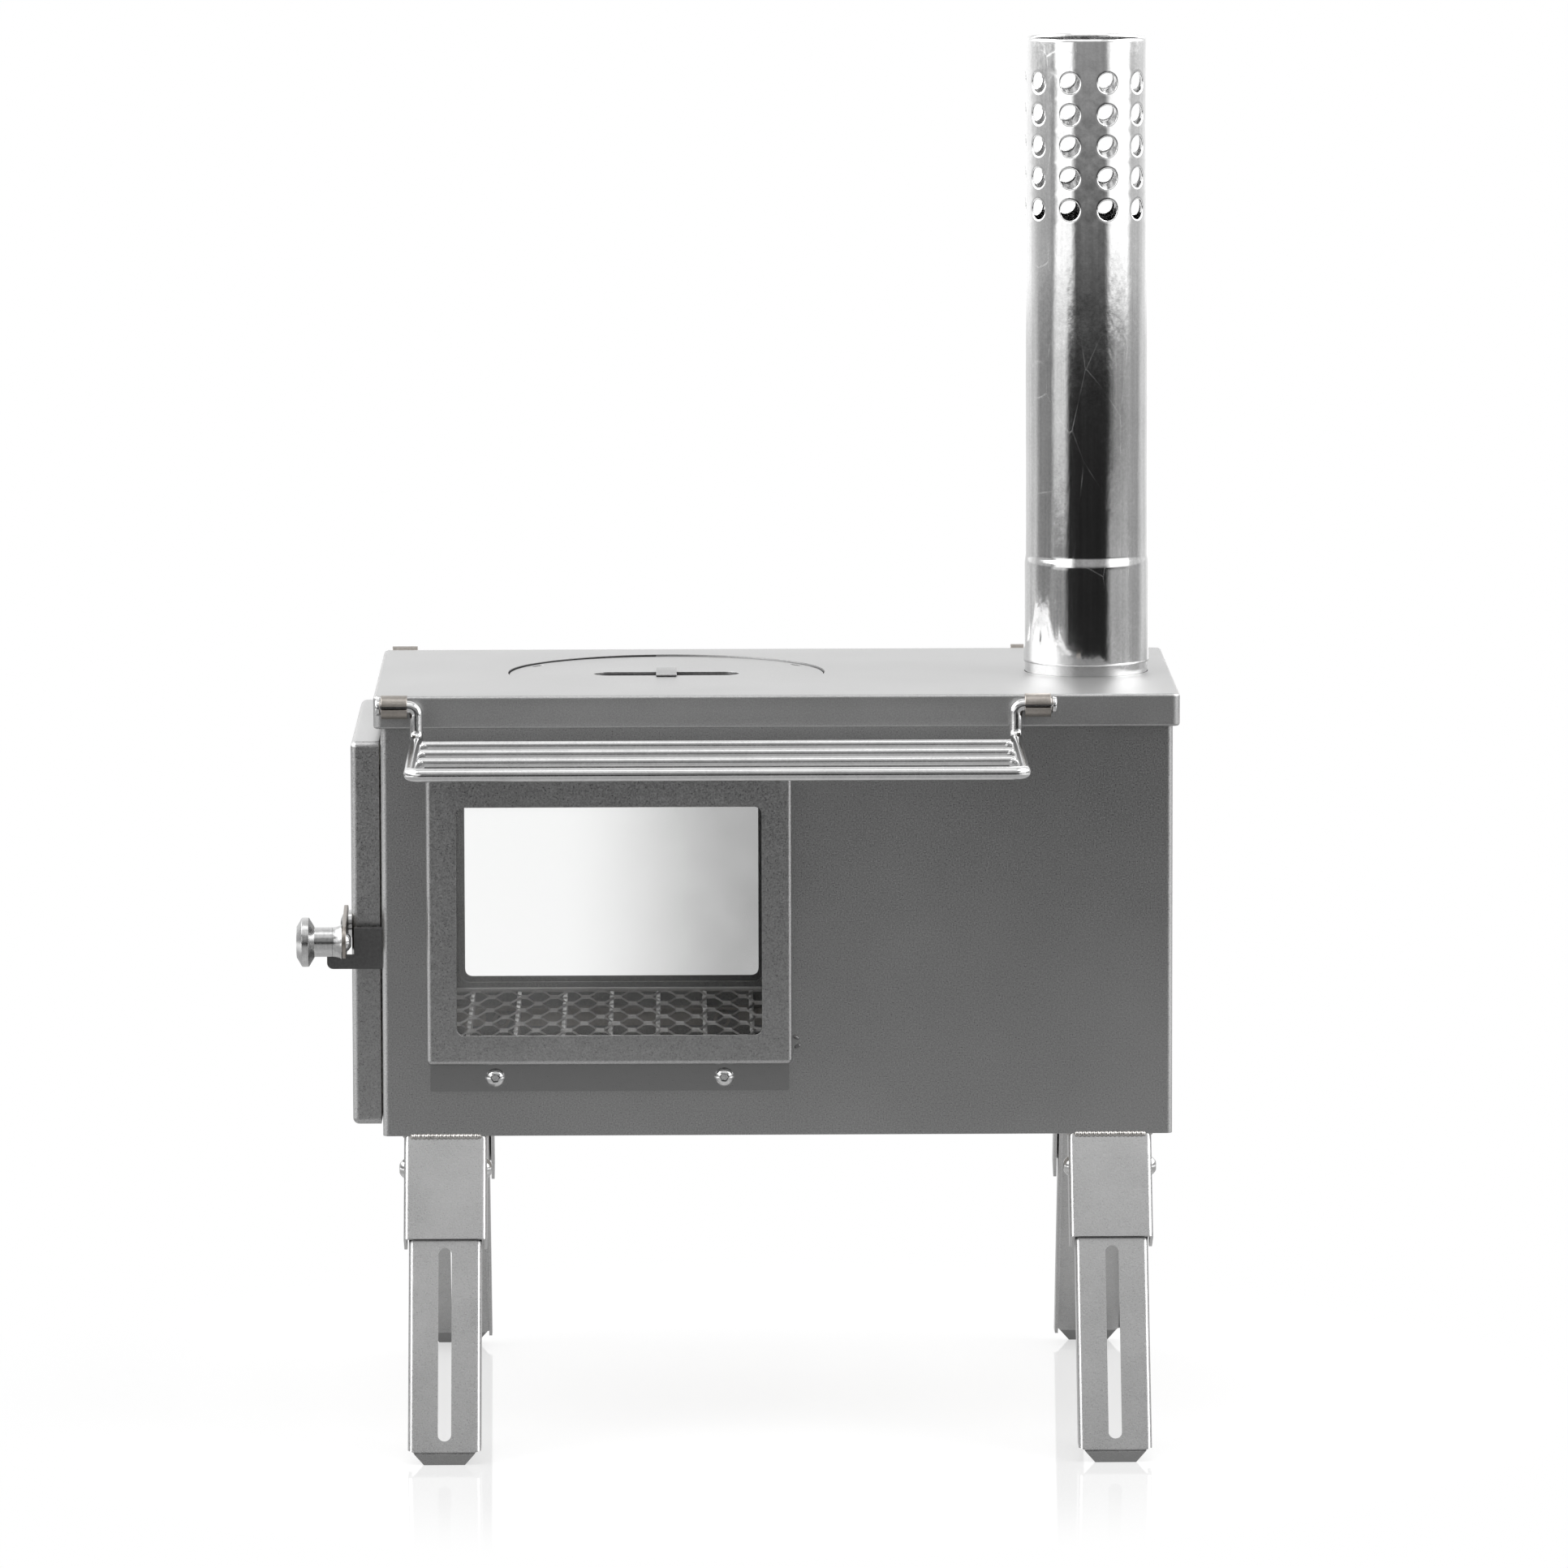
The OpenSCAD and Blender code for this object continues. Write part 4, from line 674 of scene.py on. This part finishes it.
# %% Pierced and rolled pipe
PIPE_LIFT, COLUMNS, ROWS, TOP_ROW, PITCH = 5, 10, 5, 283.8, 15.4
PUNCHED = ((6.6, 0.0), (5.9, 0.0), (5.35, -0.06), (5.0, -0.2))
UPPER_END = ((296, 0), (303.6, 0), (305, 0))
LOWER_END = ((190, 0), (160, 0), (130, 0), (100, 0), (75, 0), (60, 0), (54.5, 0), (53.2, -0.06),
             (52.2, 0.0), (51.1, 0.16), (50, 0.34), (48.9, 0.47), (47.9, 0.53), (46.5, 0.53),
             (38, 0.53), (25, 0.53), (12, 0.53), (1.2, 0.53), (0, 0.5))

def lengthen(bm, height, stations):
    """Draws the sheet's edge at a height on to each (height, how far out)."""
    edges, out = [e for e in bm.edges if all(abs(v.co.y - height) < 1e-3 for v in e.verts)], 0.0
    for goal, rise in stations:
        edges = draw(bm, edges, (0, goal - height, rise - out))
        height, out = goal, rise

def flue_pipe():
    wide, nx, ny = math.tau * PIPE_R / COLUMNS, 8, 6
    bm = bmesh.new()
    edge = [(-wide / 2 + wide * i / nx, -PITCH / 2) for i in range(nx)]
    edge += [(wide / 2, -PITCH / 2 + PITCH * i / ny) for i in range(ny)]
    ring = loop(bm, edge + [(-x, -y) for x, y in edge])
    for radius, sink in PUNCHED:
        ring = draw(bm, ring, (0, 0, 0))
        for v in ends_of(ring):
            v.co.x, v.co.y = v.co.xy.normalized() * radius
            v.co.z = sink
    cell = bm.verts[:] + bm.edges[:] + bm.faces[:]
    for row in range(ROWS):
        for column in range(COLUMNS):
            copy = bmesh.ops.duplicate(bm, geom=cell)["geom"]
            bmesh.ops.translate(bm, verts=fresh(copy, bmesh.types.BMVert),
                                vec=((column - 4.5) * wide, TOP_ROW - row * PITCH, 0))
    bmesh.ops.delete(bm, geom=fresh(cell, bmesh.types.BMVert), context="VERTS")
    bmesh.ops.remove_doubles(bm, verts=bm.verts[:], dist=1e-3)
    lengthen(bm, TOP_ROW + PITCH / 2, UPPER_END)
    lengthen(bm, TOP_ROW - (ROWS - 0.5) * PITCH, LOWER_END)
    face_up(bm)
    for v in bm.verts:
        angle, r = v.co.x / PIPE_R, PIPE_R + v.co.z
        v.co = Vector((r * math.sin(angle), -r * math.cos(angle), v.co.y))
    bmesh.ops.remove_doubles(bm, verts=bm.verts[:], dist=1e-3)
    return bm

piece("flue_pipe_rolled", flue_pipe(), polished_steel, "flue",
      shift(FLUE_X, 0, PLATE_TOP + PIPE_LIFT), sheet=0.5, smooth=40, weighted=False)

# %% [markdown]
# ## Flue collar
# The collar is turned from tube, with a flange spot welded under the plate. A
# short length of it shows between plate and pipe, with a narrow groove at the
# plate where the two meet.

# %% Collar
collar = turned([(28.95, -2.6), (34.9, -2.6), (34.9, -1.55), (30.3, -1.5), (29.95, -1.1),
                 (29.95, 5.0), (29.9, 52.2), (29.4, 52.9), (28.95, 52.9), (28.95, -2.6)], 64)
piece("flue_collar_turned", collar, collar_steel, "firebox",
      shift(FLUE_X, 0, PLATE_TOP), smooth=35)

# %% [markdown]
# ## Window frames
# A frame is a shallow pressed pan with a rounded opening. Below it a strip lies
# flat on the wall for the two screws, a little narrower than the pan. Beside the
# front frame the wall shows two dark tacks, where the frame was held for welding.

# %% Frames
STRIP_LIFT = 1.2

def window_frame():
    bm = press([(0, 0)] + arc(2.4, 2.6, 2.4, 180, 90), 88, 69.9, 2.5)
    close_top(bm, 5.0, [rounded(73.5, 55.4, 3.5)])
    bmesh.ops.translate(bm, vec=(0, WIN_MID, 0), verts=bm.verts[:])
    strip = blank(rounded(86.5, 7.75, 0.8, at=(0, 29.65)), hole_pair(SCREW_X, SCREW_Y))
    return add_to(bm, strip, shift(0, 0, STRIP_LIFT))

for end, mirror in ENDS:
    piece(f"window_frame_{end}_pressed", window_frame(), frame_steel, "firebox",
          mirror @ ON_WINDOW, sheet=1.15, round_off=0.15)

tacks = bmesh.new()
for x, z, tilt in ((8.9, 196.2, -0.5), (9.6, 190.6, 0.4)):
    add_to(tacks, rod((x - 1.4, -100.2, z), (math.cos(tilt), 0, math.sin(tilt)),
                      [("taper", 0.7, 0.8), ("run", 1.6), ("taper", 0.8, 0.3)], 0.35, 12))
piece("frame_tacks", tacks, dark_steel, "firebox", smooth=60)

# %% Frame screws
for end, mirror in ENDS:
    pair = bmesh.new()
    for s in (-1, 1):
        add_to(pair, button_head(7.4), shift(s * SCREW_X, SCREW_Y, STRIP_LIFT)
               @ Matrix.Rotation(s * 0.4, 4, "Z"))
    piece(f"window_screws_{end}_domed", pair, rod_steel, "firebox",
          mirror @ ON_WINDOW, smooth=38)

# %% [markdown]
# ## Legs and brackets
# A leg is a channel: a web with a long slot, two side flanges with round ears for
# the pin, and a foot tab, which is the web's lower end, bent in so far that it
# stands upright on its edge. All of it comes from one blank and three folds. The
# bracket is a wider, shorter channel whose upper edge is cut to the slope at
# which it meets the firebox.

# %% Leg and bracket blanks
LEAN, LEG_L, BEND = math.tan(SPLAY), 144.86, 2.6
BEND_L = BEND * math.pi / 2
LEG_WEB, BRACKET_WEB, PIN_X = 8, 9.8, 20    # how far the webs and pin heads lie from the pivot

def channel(right, holes, half):
    """A blank from its right half, with both flanges folded."""
    bm = blank(right + [(-x, y) for x, y in reversed(right)], holes)
    for s in (-1, 1):
        fold(bm, (s, 0, 0), half, BEND, 90)
    return bm

def leg():
    half, past, edge = 14.9, 14.9 + BEND_L, 14.9 + BEND_L - BEND
    right = [(half, 0), (past, 0), (past, 5.9)] + arc(edge + 8, 0, 8, 125, 5, 10)
    right += [(edge + 16, -LEG_L + 16 * LEAN), (past, -LEG_L + BEND * LEAN),
              (half + 0.8, -LEG_L + 0.2), (14.7, -LEG_L - 0.1), (14.7, -LEG_L - 0.9),
              (9.8, -LEG_L - 3 * SPLAY - 5)]
    slot = rounded(3.2, 48.6, 3.19, 8, at=(0, 53.8 - LEG_L))
    bm = channel(right, [slot] + hole_pair(edge + 8, r=2.55), half)
    fold(bm, (0, -1, 0), LEG_L, 3.0, 27)
    return bm

def bracket():
    half, past, edge, rise = 17.4, 17.4 + BEND_L, 17.4 + BEND_L - BEND, 13.2
    right = [(half, rise), (past, rise + BEND * LEAN), (edge + 20, rise + 20 * LEAN)]
    return channel(right + arc(edge + 16, -34.8, 4, 0, -90), hole_pair(edge + 9.8), half)

# %% [markdown]
# ## Weld beads
# A weld bead is a row of overlapping ripples. It is drawn as a thin rod in many
# short steps whose radius swells and shrinks with each ripple, a little unevenly
# as a hand leaves it.

# %% Bead
def bead(start, heading, length, radius=1.15, ripple=2.1, step=0.42):
    steps, n = [], int(length / step)
    for i in range(n):
        swell = 0.72 + 0.28 * abs(math.sin(math.pi * i * step / ripple)) + rng.uniform(-0.04, 0.04)
        fade = min(1.0, (i + 1) / 4, (n - i) / 4)
        steps.append(("taper", step, radius * swell * fade))
    return rod(start, heading, steps, radius * 0.3, 10)

# %% Four corners
for end, mirror in ENDS:
    for hand, side in (("left", -1), ("right", 1)):
        corner = end + "_" + hand
        at_web = mirror @ at_leg(side)
        piece(f"leg_{corner}_folded", leg(), leg_steel, "leg_" + corner,
              at_web @ shift(0, 0, LEG_WEB), sheet=1.5, round_off=0.2)
        piece(f"leg_bracket_{corner}_folded", bracket(), leg_steel, "firebox",
              at_web @ shift(0, 0, BRACKET_WEB), sheet=1.5, round_off=0.2)
        seam = bead((side * LEG_X - 18, -99.7, BODY_Z - 0.3), (1, 0, 0), 36, 1.7)
        for s in (-1, 1):
            add_to(seam, bead((side * LEG_X + s * 19.7, -96.5, BODY_Z - 0.6), (0, 1, 0), 15))
        piece("bracket_weld_" + corner, seam, weld_steel, "firebox", mirror,
              smooth=60)

# %% Leg pins
pins = bmesh.new()
for _, mirror in ENDS:
    for side in (-1, 1):
        for s in (-1, 1):
            head = button_head(PIN_X)
            outward = shift(s * PIN_X, 0, 0) @ Matrix.Rotation(s * math.pi / 2, 4, "Y")
            bmesh.ops.transform(head, matrix=mirror @ at_leg(side) @ outward, verts=head.verts[:])
            face_out(head)
            add_to(pins, head)
piece("leg_pins_domed", pins, rod_steel, "firebox", smooth=38)

# %% [markdown]
# ## Side racks
# The rack's frame is one polished rod with six bends. It leaves its slit barrel,
# drops, turns out along the arm, runs along the outer bar and comes back the
# same way. Its two ends are hammered wider so that they can't slip out. Three
# thinner rods are welded across, level with the frame's top.

# %% Rack frames and rods
RACK_X, HINGE_Y, HINGE_Z, RACK_HALF = -29.165, 109.05, 357.412, 143.735
HINGE_LINE = shift(RACK_X, -HINGE_Y, HINGE_Z)
ROD_R, CROSS_R, NECK, CORNER, DROP, ARM, BARREL_L = 3.15, 2.25, 4.1, 6, 17, 132, 12.5

def rack_frame():
    through = BARREL_L + 0.6
    start = (-RACK_HALF - NECK - through - 2.5, 0, 0)
    barrel, neck = ("run", through - 0.02), ("bend", NECK, 90, (0, 1, 0))
    drop, arm = ("run", DROP - NECK - CORNER), ("run", ARM - 2 * CORNER)
    left, outer, right = (("bend", CORNER, 90, axis) for axis in ((-1, 0, 0), (0, 0, 1), (1, 0, 0)))
    steps = [("taper", 0.5, 4.0), ("run", 1.5), ("taper", 0.5, 3.6), ("taper", 0.02, ROD_R),
             barrel, neck, drop, left, arm, outer, ("run", 2 * RACK_HALF - 2 * CORNER),
             outer, arm, right, drop, neck, barrel,
             ("taper", 0.02, 3.6), ("taper", 0.5, 4.0), ("run", 1.5), ("taper", 0.5, 3.4)]
    return rod(start, (1, 0, 0), steps, 3.4)

def rack_rods():
    half, z = RACK_HALF - ROD_R, ROD_R - CROSS_R - DROP
    blob = [("taper", *size) for size in ((0.5, 2.75), (0.8, 2.95), (0.9, 2.6), (0.8, CROSS_R))]
    bm = bmesh.new()
    for y in (-22, -56, -90):
        add_to(bm, rod((-half, y, z), (1, 0, 0), [("run", 2 * half)], CROSS_R, 18))
        for s in (-1, 1):
            add_to(bm, rod((s * (half + 0.3), y, z - 0.7), (-s, 0, 0), blob, 2.4, 18))
    return bm

for end, mirror in ENDS:
    piece(f"rack_frame_{end}_bent", rack_frame(), rod_steel, "rack_" + end,
          mirror @ HINGE_LINE, smooth=50, weighted=False)
    piece(f"rack_rods_{end}_welded", rack_rods(), rod_steel, "rack_" + end,
          mirror @ HINGE_LINE, smooth=50, weighted=False)

# %% [markdown]
# ## Rack barrels
# A barrel is a short strip rolled nearly round, and the slit is where its edges
# don't quite meet. A small block of weld metal holds it to the plate's skirt.
# Welding and tumbling have left it brownish.

# %% Barrels
def block(middle, size, round_off, segments):
    """A cuboid with rounded edges."""
    bm = bmesh.new()
    bmesh.ops.create_cube(bm, size=1, matrix=shift(*middle) @ Matrix.Diagonal((*size, 1)))
    bmesh.ops.bevel(bm, geom=bm.edges[:], offset=round_off, segments=segments, profile=0.5,
                    affect="EDGES", material=-1)
    return bm

def barrels():
    bm = bmesh.new()
    gap = math.degrees(math.asin(0.9 / 5.75))
    inner = RACK_HALF + NECK + 0.3
    for x in (-inner - BARREL_L, inner):
        tube = bmesh.new()
        ring = open_line(tube, [(0, y, z) for y, z in arc(0, 0, 5.75, 180 + gap, 540 - gap, 32)])
        draw(tube, ring, (BARREL_L, 0, 0))
        face_out(tube)
        middle = Vector((BARREL_L / 2, 0, 0))
        if sum(f.normal.dot(f.calc_center_median() - middle) for f in tube.faces) < 0:
            bmesh.ops.reverse_faces(tube, faces=tube.faces[:])
        bmesh.ops.solidify(tube, geom=tube.faces[:], thickness=2.5)
        add_to(tube, block((BARREL_L / 2, 4.7, -1.2), (11.5, 2.1, 6.5), 0.5, 3))
        add_to(bm, tube, shift(x, 0, 0))
    return bm

for end, mirror in ENDS:
    piece(f"rack_barrels_{end}_rolled", barrels(), browned_steel, "firebox",
          mirror @ HINGE_LINE, round_off=0.2, smooth=45)

# %% [markdown]
# ## Door
# The door is another pressed pan, deeper than the frames, with four air vents
# and the slot in which the damper's grip slides. Its welded corners are tight.

# %% Door pan
DOOR_MID, DOOR_TOP, GRIP_X = 4.4 + 186.4 / 2, 14.7, 54
PIVOT = (100, -72)
vents = [rounded(11, 4, 3.99, 8, at=(30, (i - 1.5) * 24)) for i in range(4)]
grip_slot = rounded(2.8, 8.8, 2.79, 8, at=(GRIP_X, 6))
door = press([(0, 0), (0, 4)] + arc(3, DOOR_TOP - 4, 3, 180, 90), 93.2, 91, 3.1)
bmesh.ops.translate(door, vec=(DOOR_MID, 0, 1), verts=door.verts[:])
close_top(door, DOOR_TOP, vents + [grip_slot, circle(3.02, PIVOT, 20)])
piece("door_pan_pressed", door, sheet_steel, "door", ON_DOOR, sheet=1.2,
      round_off=0.2)

# %% [markdown]
# ## Latch
# The lever is a flat link that drops on to the catch's lip. The knob is turned
# from bar: a flared foot, a plain shaft and a head with two cones and a rim,
# each edge just broken by the tool.

# %% Lever, knob, screw and catch
KNOB_DY, KNOB_DZ, LEVER_Z = 34.0, 4.4, 18.85
SPAN = math.hypot(KNOB_DY, KNOB_DZ)

def link(span, r1, r2, steps=16):
    """Points of a link: a large and a small round end, joined by straight sides."""
    tilt = math.degrees(math.asin((r1 - r2) / span))
    return (arc(0, 0, r1, 90 - tilt, 270 + tilt, steps)
            + arc(span, 0, r2, -90 + tilt, 90 - tilt, steps))

lever = blank(link(SPAN, 9, 8), [circle(3.05, steps=20), circle(2.52, (SPAN, 0), 20)])
swivel = Matrix.Rotation(math.atan2(-KNOB_DY, -KNOB_DZ), 4, "Z")
piece("latch_lever_cut", lever, browned_steel, "latch",
      ON_DOOR @ shift(*PIVOT, LEVER_Z) @ swivel, sheet=2.0, round_off=0.35)

knob = turned([(2.52, 0), (8.2, 0), (8.4, 0.25), (7.9, 1.1), (7.45, 2.4), (7.2, 3.6), (7.15, 4.1),
               (7.15, 4.5), (7.05, 4.6), (7.15, 4.7), (7.15, 12.9), (7.3, 13.3), (7.6, 13.4),
               (7.8, 13.5), (11.6, 15.8), (11.85, 16.05), (11.9, 16.4), (11.9, 18.8),
               (11.82, 19.15), (11.6, 19.4), (7.95, 21.5), (7.6, 21.78), (7.2, 21.8),
               (3.0, 21.74), (0, 21.7)], 56)
AT_KNOB = ON_DOOR @ shift(PIVOT[0] - KNOB_DZ, PIVOT[1] - KNOB_DY, LEVER_Z)
piece("latch_knob_turned", knob, turned_steel, "latch", AT_KNOB,
      smooth=28)
piece("knob_screw_domed", button_head(10), rod_steel, "latch",
      AT_KNOB @ shift(0, 0, -2) @ Matrix.Rotation(math.pi, 4, "X"), smooth=38)

catch = blank([(-13.5, 101.2), (-13.5, 88.13), (-26.5, 88.13), (-26.5, 84)]
              + arc(-23.6, 84.1, 2.9, 180, 270) + [(0, 81.2), (0, 101.2)])
piece("door_catch_cut", catch, dark_steel, "firebox",
      ON_WALL @ shift(-HALF_L, 0, -3), sheet=2.0, round_off=0.3)
piece("damper_grip_domed", button_head(2.6), rod_steel, "damper",
      ON_DOOR @ shift(GRIP_X, 0, 15.0), smooth=38)

# %% [markdown]
# ## Grate
# The grate is expanded mesh: one sheet slit and pulled, which leaves wavy
# strands that touch at their crests. Each strand is a small tilted section
# pushed along its wave. The bars under it are cut from strip.

# %% Mesh strands
GRATE_Z, ROW, BAR_GAP = 44.5, 23, 23.1

def strand(y, phase, half_l=185.5, reach=10.6, pitch=15.6):
    bm = bmesh.new()
    ring = loop(bm, [(-1.1, -0.55), (1.1, -0.75), (1.1, 0.05), (-1.1, 0.6)])
    bmesh.ops.transform(bm, matrix=frame_of((0, 1, 0), (0, 0, 1), (1, 0, 0), (-half_l, y, 0)),
                        verts=bm.verts[:])
    step = pitch / 8
    for i in range(int(2 * half_l / step)):
        ring = draw(bm, ring, (step, 0, 0))
    for v in bm.verts:
        turn = math.tau * (v.co.x / pitch + phase)
        v.co.y += reach * (0.86 * math.cos(turn) - 0.14 * math.cos(3 * turn))
        v.co.z += 0.12 * math.cos(turn)
    return cap(bm)

mesh = bmesh.new()
for i in range(8):
    add_to(mesh, strand(-80.5 + ROW * i, 0.5 * (i % 2)))
for s in (-1, 1):
    add_to(mesh, rod((-186, s * 94.8, -0.1), (1, 0, 0), [("run", 372)], 1.2, 8))
    add_to(mesh, rod((s * 184.5, -96, -0.1), (0, 1, 0), [("run", 192)], 1.1, 8))
piece("grate_mesh_drawn", mesh, brightened_grate_steel, "firebox",
      shift(0, 0, BODY_Z + GRATE_Z - 0.8), smooth=40, weighted=False)

bars = bmesh.new()
for i in range(16):
    x = (i - 7.5) * BAR_GAP
    bar = block((x, 0, 39), (2, 191.6, 8), 0.3, 2)
    for k in range(8):
        nugget = bmesh.new()
        spot = (x + rng.uniform(-0.3, 0.3), -91.5 + ROW * k + rng.uniform(-1, 1), 43.1)
        bmesh.ops.create_icosphere(nugget, subdivisions=2, radius=1.0, matrix=Matrix.Translation(
            spot) @ Matrix.Diagonal((1.3, 2.4, 1.0, 1)))
        add_to(bar, nugget)
    add_to(bars, bar)
piece("grate_bars_cut", bars, brightened_grate_steel, "firebox",
      shift(0, 0, BODY_Z), smooth=40)

# %% [markdown]
# ## Studio
# Polished steel shows the room more than itself. The photograph's studio can be
# read from the flue: dark straight ahead, bright on both sides of that, dimmer
# near the floor. So the stove stands in a round light tent. The tent's cloth is
# a stage piece that only reflections see. Its glow is a plan of soft cards: two
# bright boxes, a dark gap between them, dim flanks and a plain back.

# %% Floor and light tent
TENT_X = 0.17

def floor_finish():
    f = new_finish("pale studio floor")
    far = f.node("ShaderNodeVectorMath", {"operation": "LENGTH"}, {0: f.where()}, out="Value")
    across = f.along("X")
    # Seen in the metal, the floor glows dimmer in the middle and brighter than white to both sides:
    # painted light for the reflections. Seen straight, it glows plain white.
    mirrored_glow = f.blend(f.fade(across * across, 0.5, 1.2), rgb(0.62), rgb(1.3))
    paper = f.node("ShaderNodeBsdfPrincipled", {}, {
        "Base Color": rgb(0.94), "Roughness": 0.04, "Specular IOR Level": 0.5})
    glow = f.node("ShaderNodeEmission", {}, {
        "Color": f.blend(f.ray("Glossy"), rgb(1.0), mirrored_glow), "Strength": 1.0})
    return f.surface(f.mix(f.fade(far, 0.27, 0.42, 0.58, 1.0) * f.seen(), paper, glow))

# heading from, to, soft edge (degrees, 0 is ahead of the stove, negative is left),
# height from, to, soft edge (metres), glow
CARDS = [
    (-200, -120, 30, 0.42, 3, 0.06, 1.25), (132, 200, 30, 0.42, 3, 0.06, 1.25),  # behind the stove
    (-200, -120, 30, 0.2, 0.42, 0.06, 0.8), (132, 200, 30, 0.2, 0.42, 0.06, 0.9),
    (-200, -155, 16, 0, 0.2, 0.06, 1.25), (155, 200, 16, 0, 0.2, 0.06, 1.25),
    (-200, -160, 16, 0.2, 0.42, 0.06, 0.45), (160, 200, 16, 0.2, 0.42, 0.06, 0.35),
    (-155, -120, 16, 0, 0.2, 0.06, 0.3), (132, 155, 16, 0, 0.2, 0.06, 0.5),
    (-120, -104, 16, 0, 3, 0.01, 0.5), (116, 132, 16, 0, 3, 0.01, 0.6),
    (-106, -68, 20, 0, 1, 0.1, 0.25), (-106, -60, 20, 0.43, 1, 0.08, 0.26),  # left flank
    (-70, -39, 12, 0.12, 0.3, 0.03, 0.3), (-67, -38, 12, 0.3, 0.43, 0.03, 0.75),
    (-62, -27, 12, 0.43, 1, 0.06, 1.5),  # left box
    (78, 118, 20, 0, 1, 0.1, 0.4), (82, 118, 20, 0.43, 1, 0.08, 0.26),  # right flank
    (40, 80, 14, 0.12, 0.31, 0.05, 0.46), (48, 80, 20, 0.31, 0.43, 0.04, 0.28),
    (39, 83, 14, 0.43, 1, 0.06, 1.5),  # right box
    (-27, 40, 14, 0.42, 1.5, 0.1, 0.14), (-27, 40, 30, 0.53, 1.5, 0.14, 0.22),  # dark gap ahead
    (-74, -32, 12, 0, 0.12, 0.03, 1.2), (44, 86, 12, 0, 0.12, 0.03, 1.2),  # foot of both boxes
    (-58, 58, 20, 1.45, 3, 0.3, 1.1),  # overhead
    (-120, -58, 20, 1, 3, 0.2, 7), (58, 120, 20, 1, 3, 0.2, 7),  # light the bends
    (-125, -55, 20, 0.62, 1, 0.08, 2.5), (55, 125, 20, 0.62, 1, 0.08, 2.5),
    (-112, -56, 16, 0, 0.14, 0.04, 1.7), (56, 112, 16, 0, 0.14, 0.04, 1.7),
]

def tent_finish():
    f = new_finish("tent cloth")
    heading = f.node("ShaderNodeMath", {"operation": "ARCTAN2"}, {
        0: f.along("X") - TENT_X, 1: 0 - f.along("Y")})
    height = f.along("Z")
    def between(value, low, high, soft):
        return (f.fade(value, low - soft / 2, low + soft / 2)
                * f.fade(value, high + soft / 2, high - soft / 2))
    glow = 0.02
    for left, right, blur, low, high, soft, level in CARDS:
        turn = between(heading, *(math.radians(a) for a in (left, right, blur)))
        glow = glow + level * turn * between(height, low, high, soft)
    level = glow * (0.9 + 0.2 * f.noise(6, detail=2.0))
    return f.surface(f.node("ShaderNodeEmission", {}, {"Color": level, "Strength": 1.0}))

paper = bmesh.new()
bmesh.ops.create_grid(paper, x_segments=1, y_segments=1, size=9)
new_object("studio_floor", paper, floor_finish())

cloth = bmesh.new()
bmesh.ops.create_circle(cloth, segments=96, radius=1.55,
                        matrix=shift(TENT_X, 0, 0.002))
draw(cloth, cloth.edges[:], (0, 0, 2.8))
tent = new_object("light_tent", cloth, tent_finish())
tent.visible_camera = tent.visible_diffuse = tent.visible_shadow = False

# %% Lamps and world
def panel(name, place, aim, size, power):
    data = bpy.data.lights.new(name, "AREA")
    data.shape, data.size, data.size_y, data.energy = "RECTANGLE", size[0], size[1], power
    obj = bpy.data.objects.new(name, data)
    obj.location = place
    obj.rotation_euler = (Vector(aim) - Vector(place)).to_track_quat("-Z", "Y").to_euler()
    bpy.context.scene.collection.objects.link(obj)

panel("left_panel", (-1.5, -0.8, 1.7), (0, 0, 0.25), (0.9, 0.8), 7)
panel("right_panel", (1.6, -0.7, 1.7), (0, 0, 0.25), (0.9, 0.8), 7)
panel("overhead_panel", (0.0, -0.5, 2.6), (0, 0, 0.2), (1.6, 0.7), 5)

world = bpy.data.worlds.new("white studio")
bpy.context.scene.world = world
sky = Finish(world)
soft, white = (sky.node("ShaderNodeBackground", {}, {"Color": rgb(1.0), "Strength": strength})
               for strength in (0.95, 1.0))
sky.surface(sky.mix(sky.seen(), soft, white), "ShaderNodeOutputWorld")
print("studio lit")
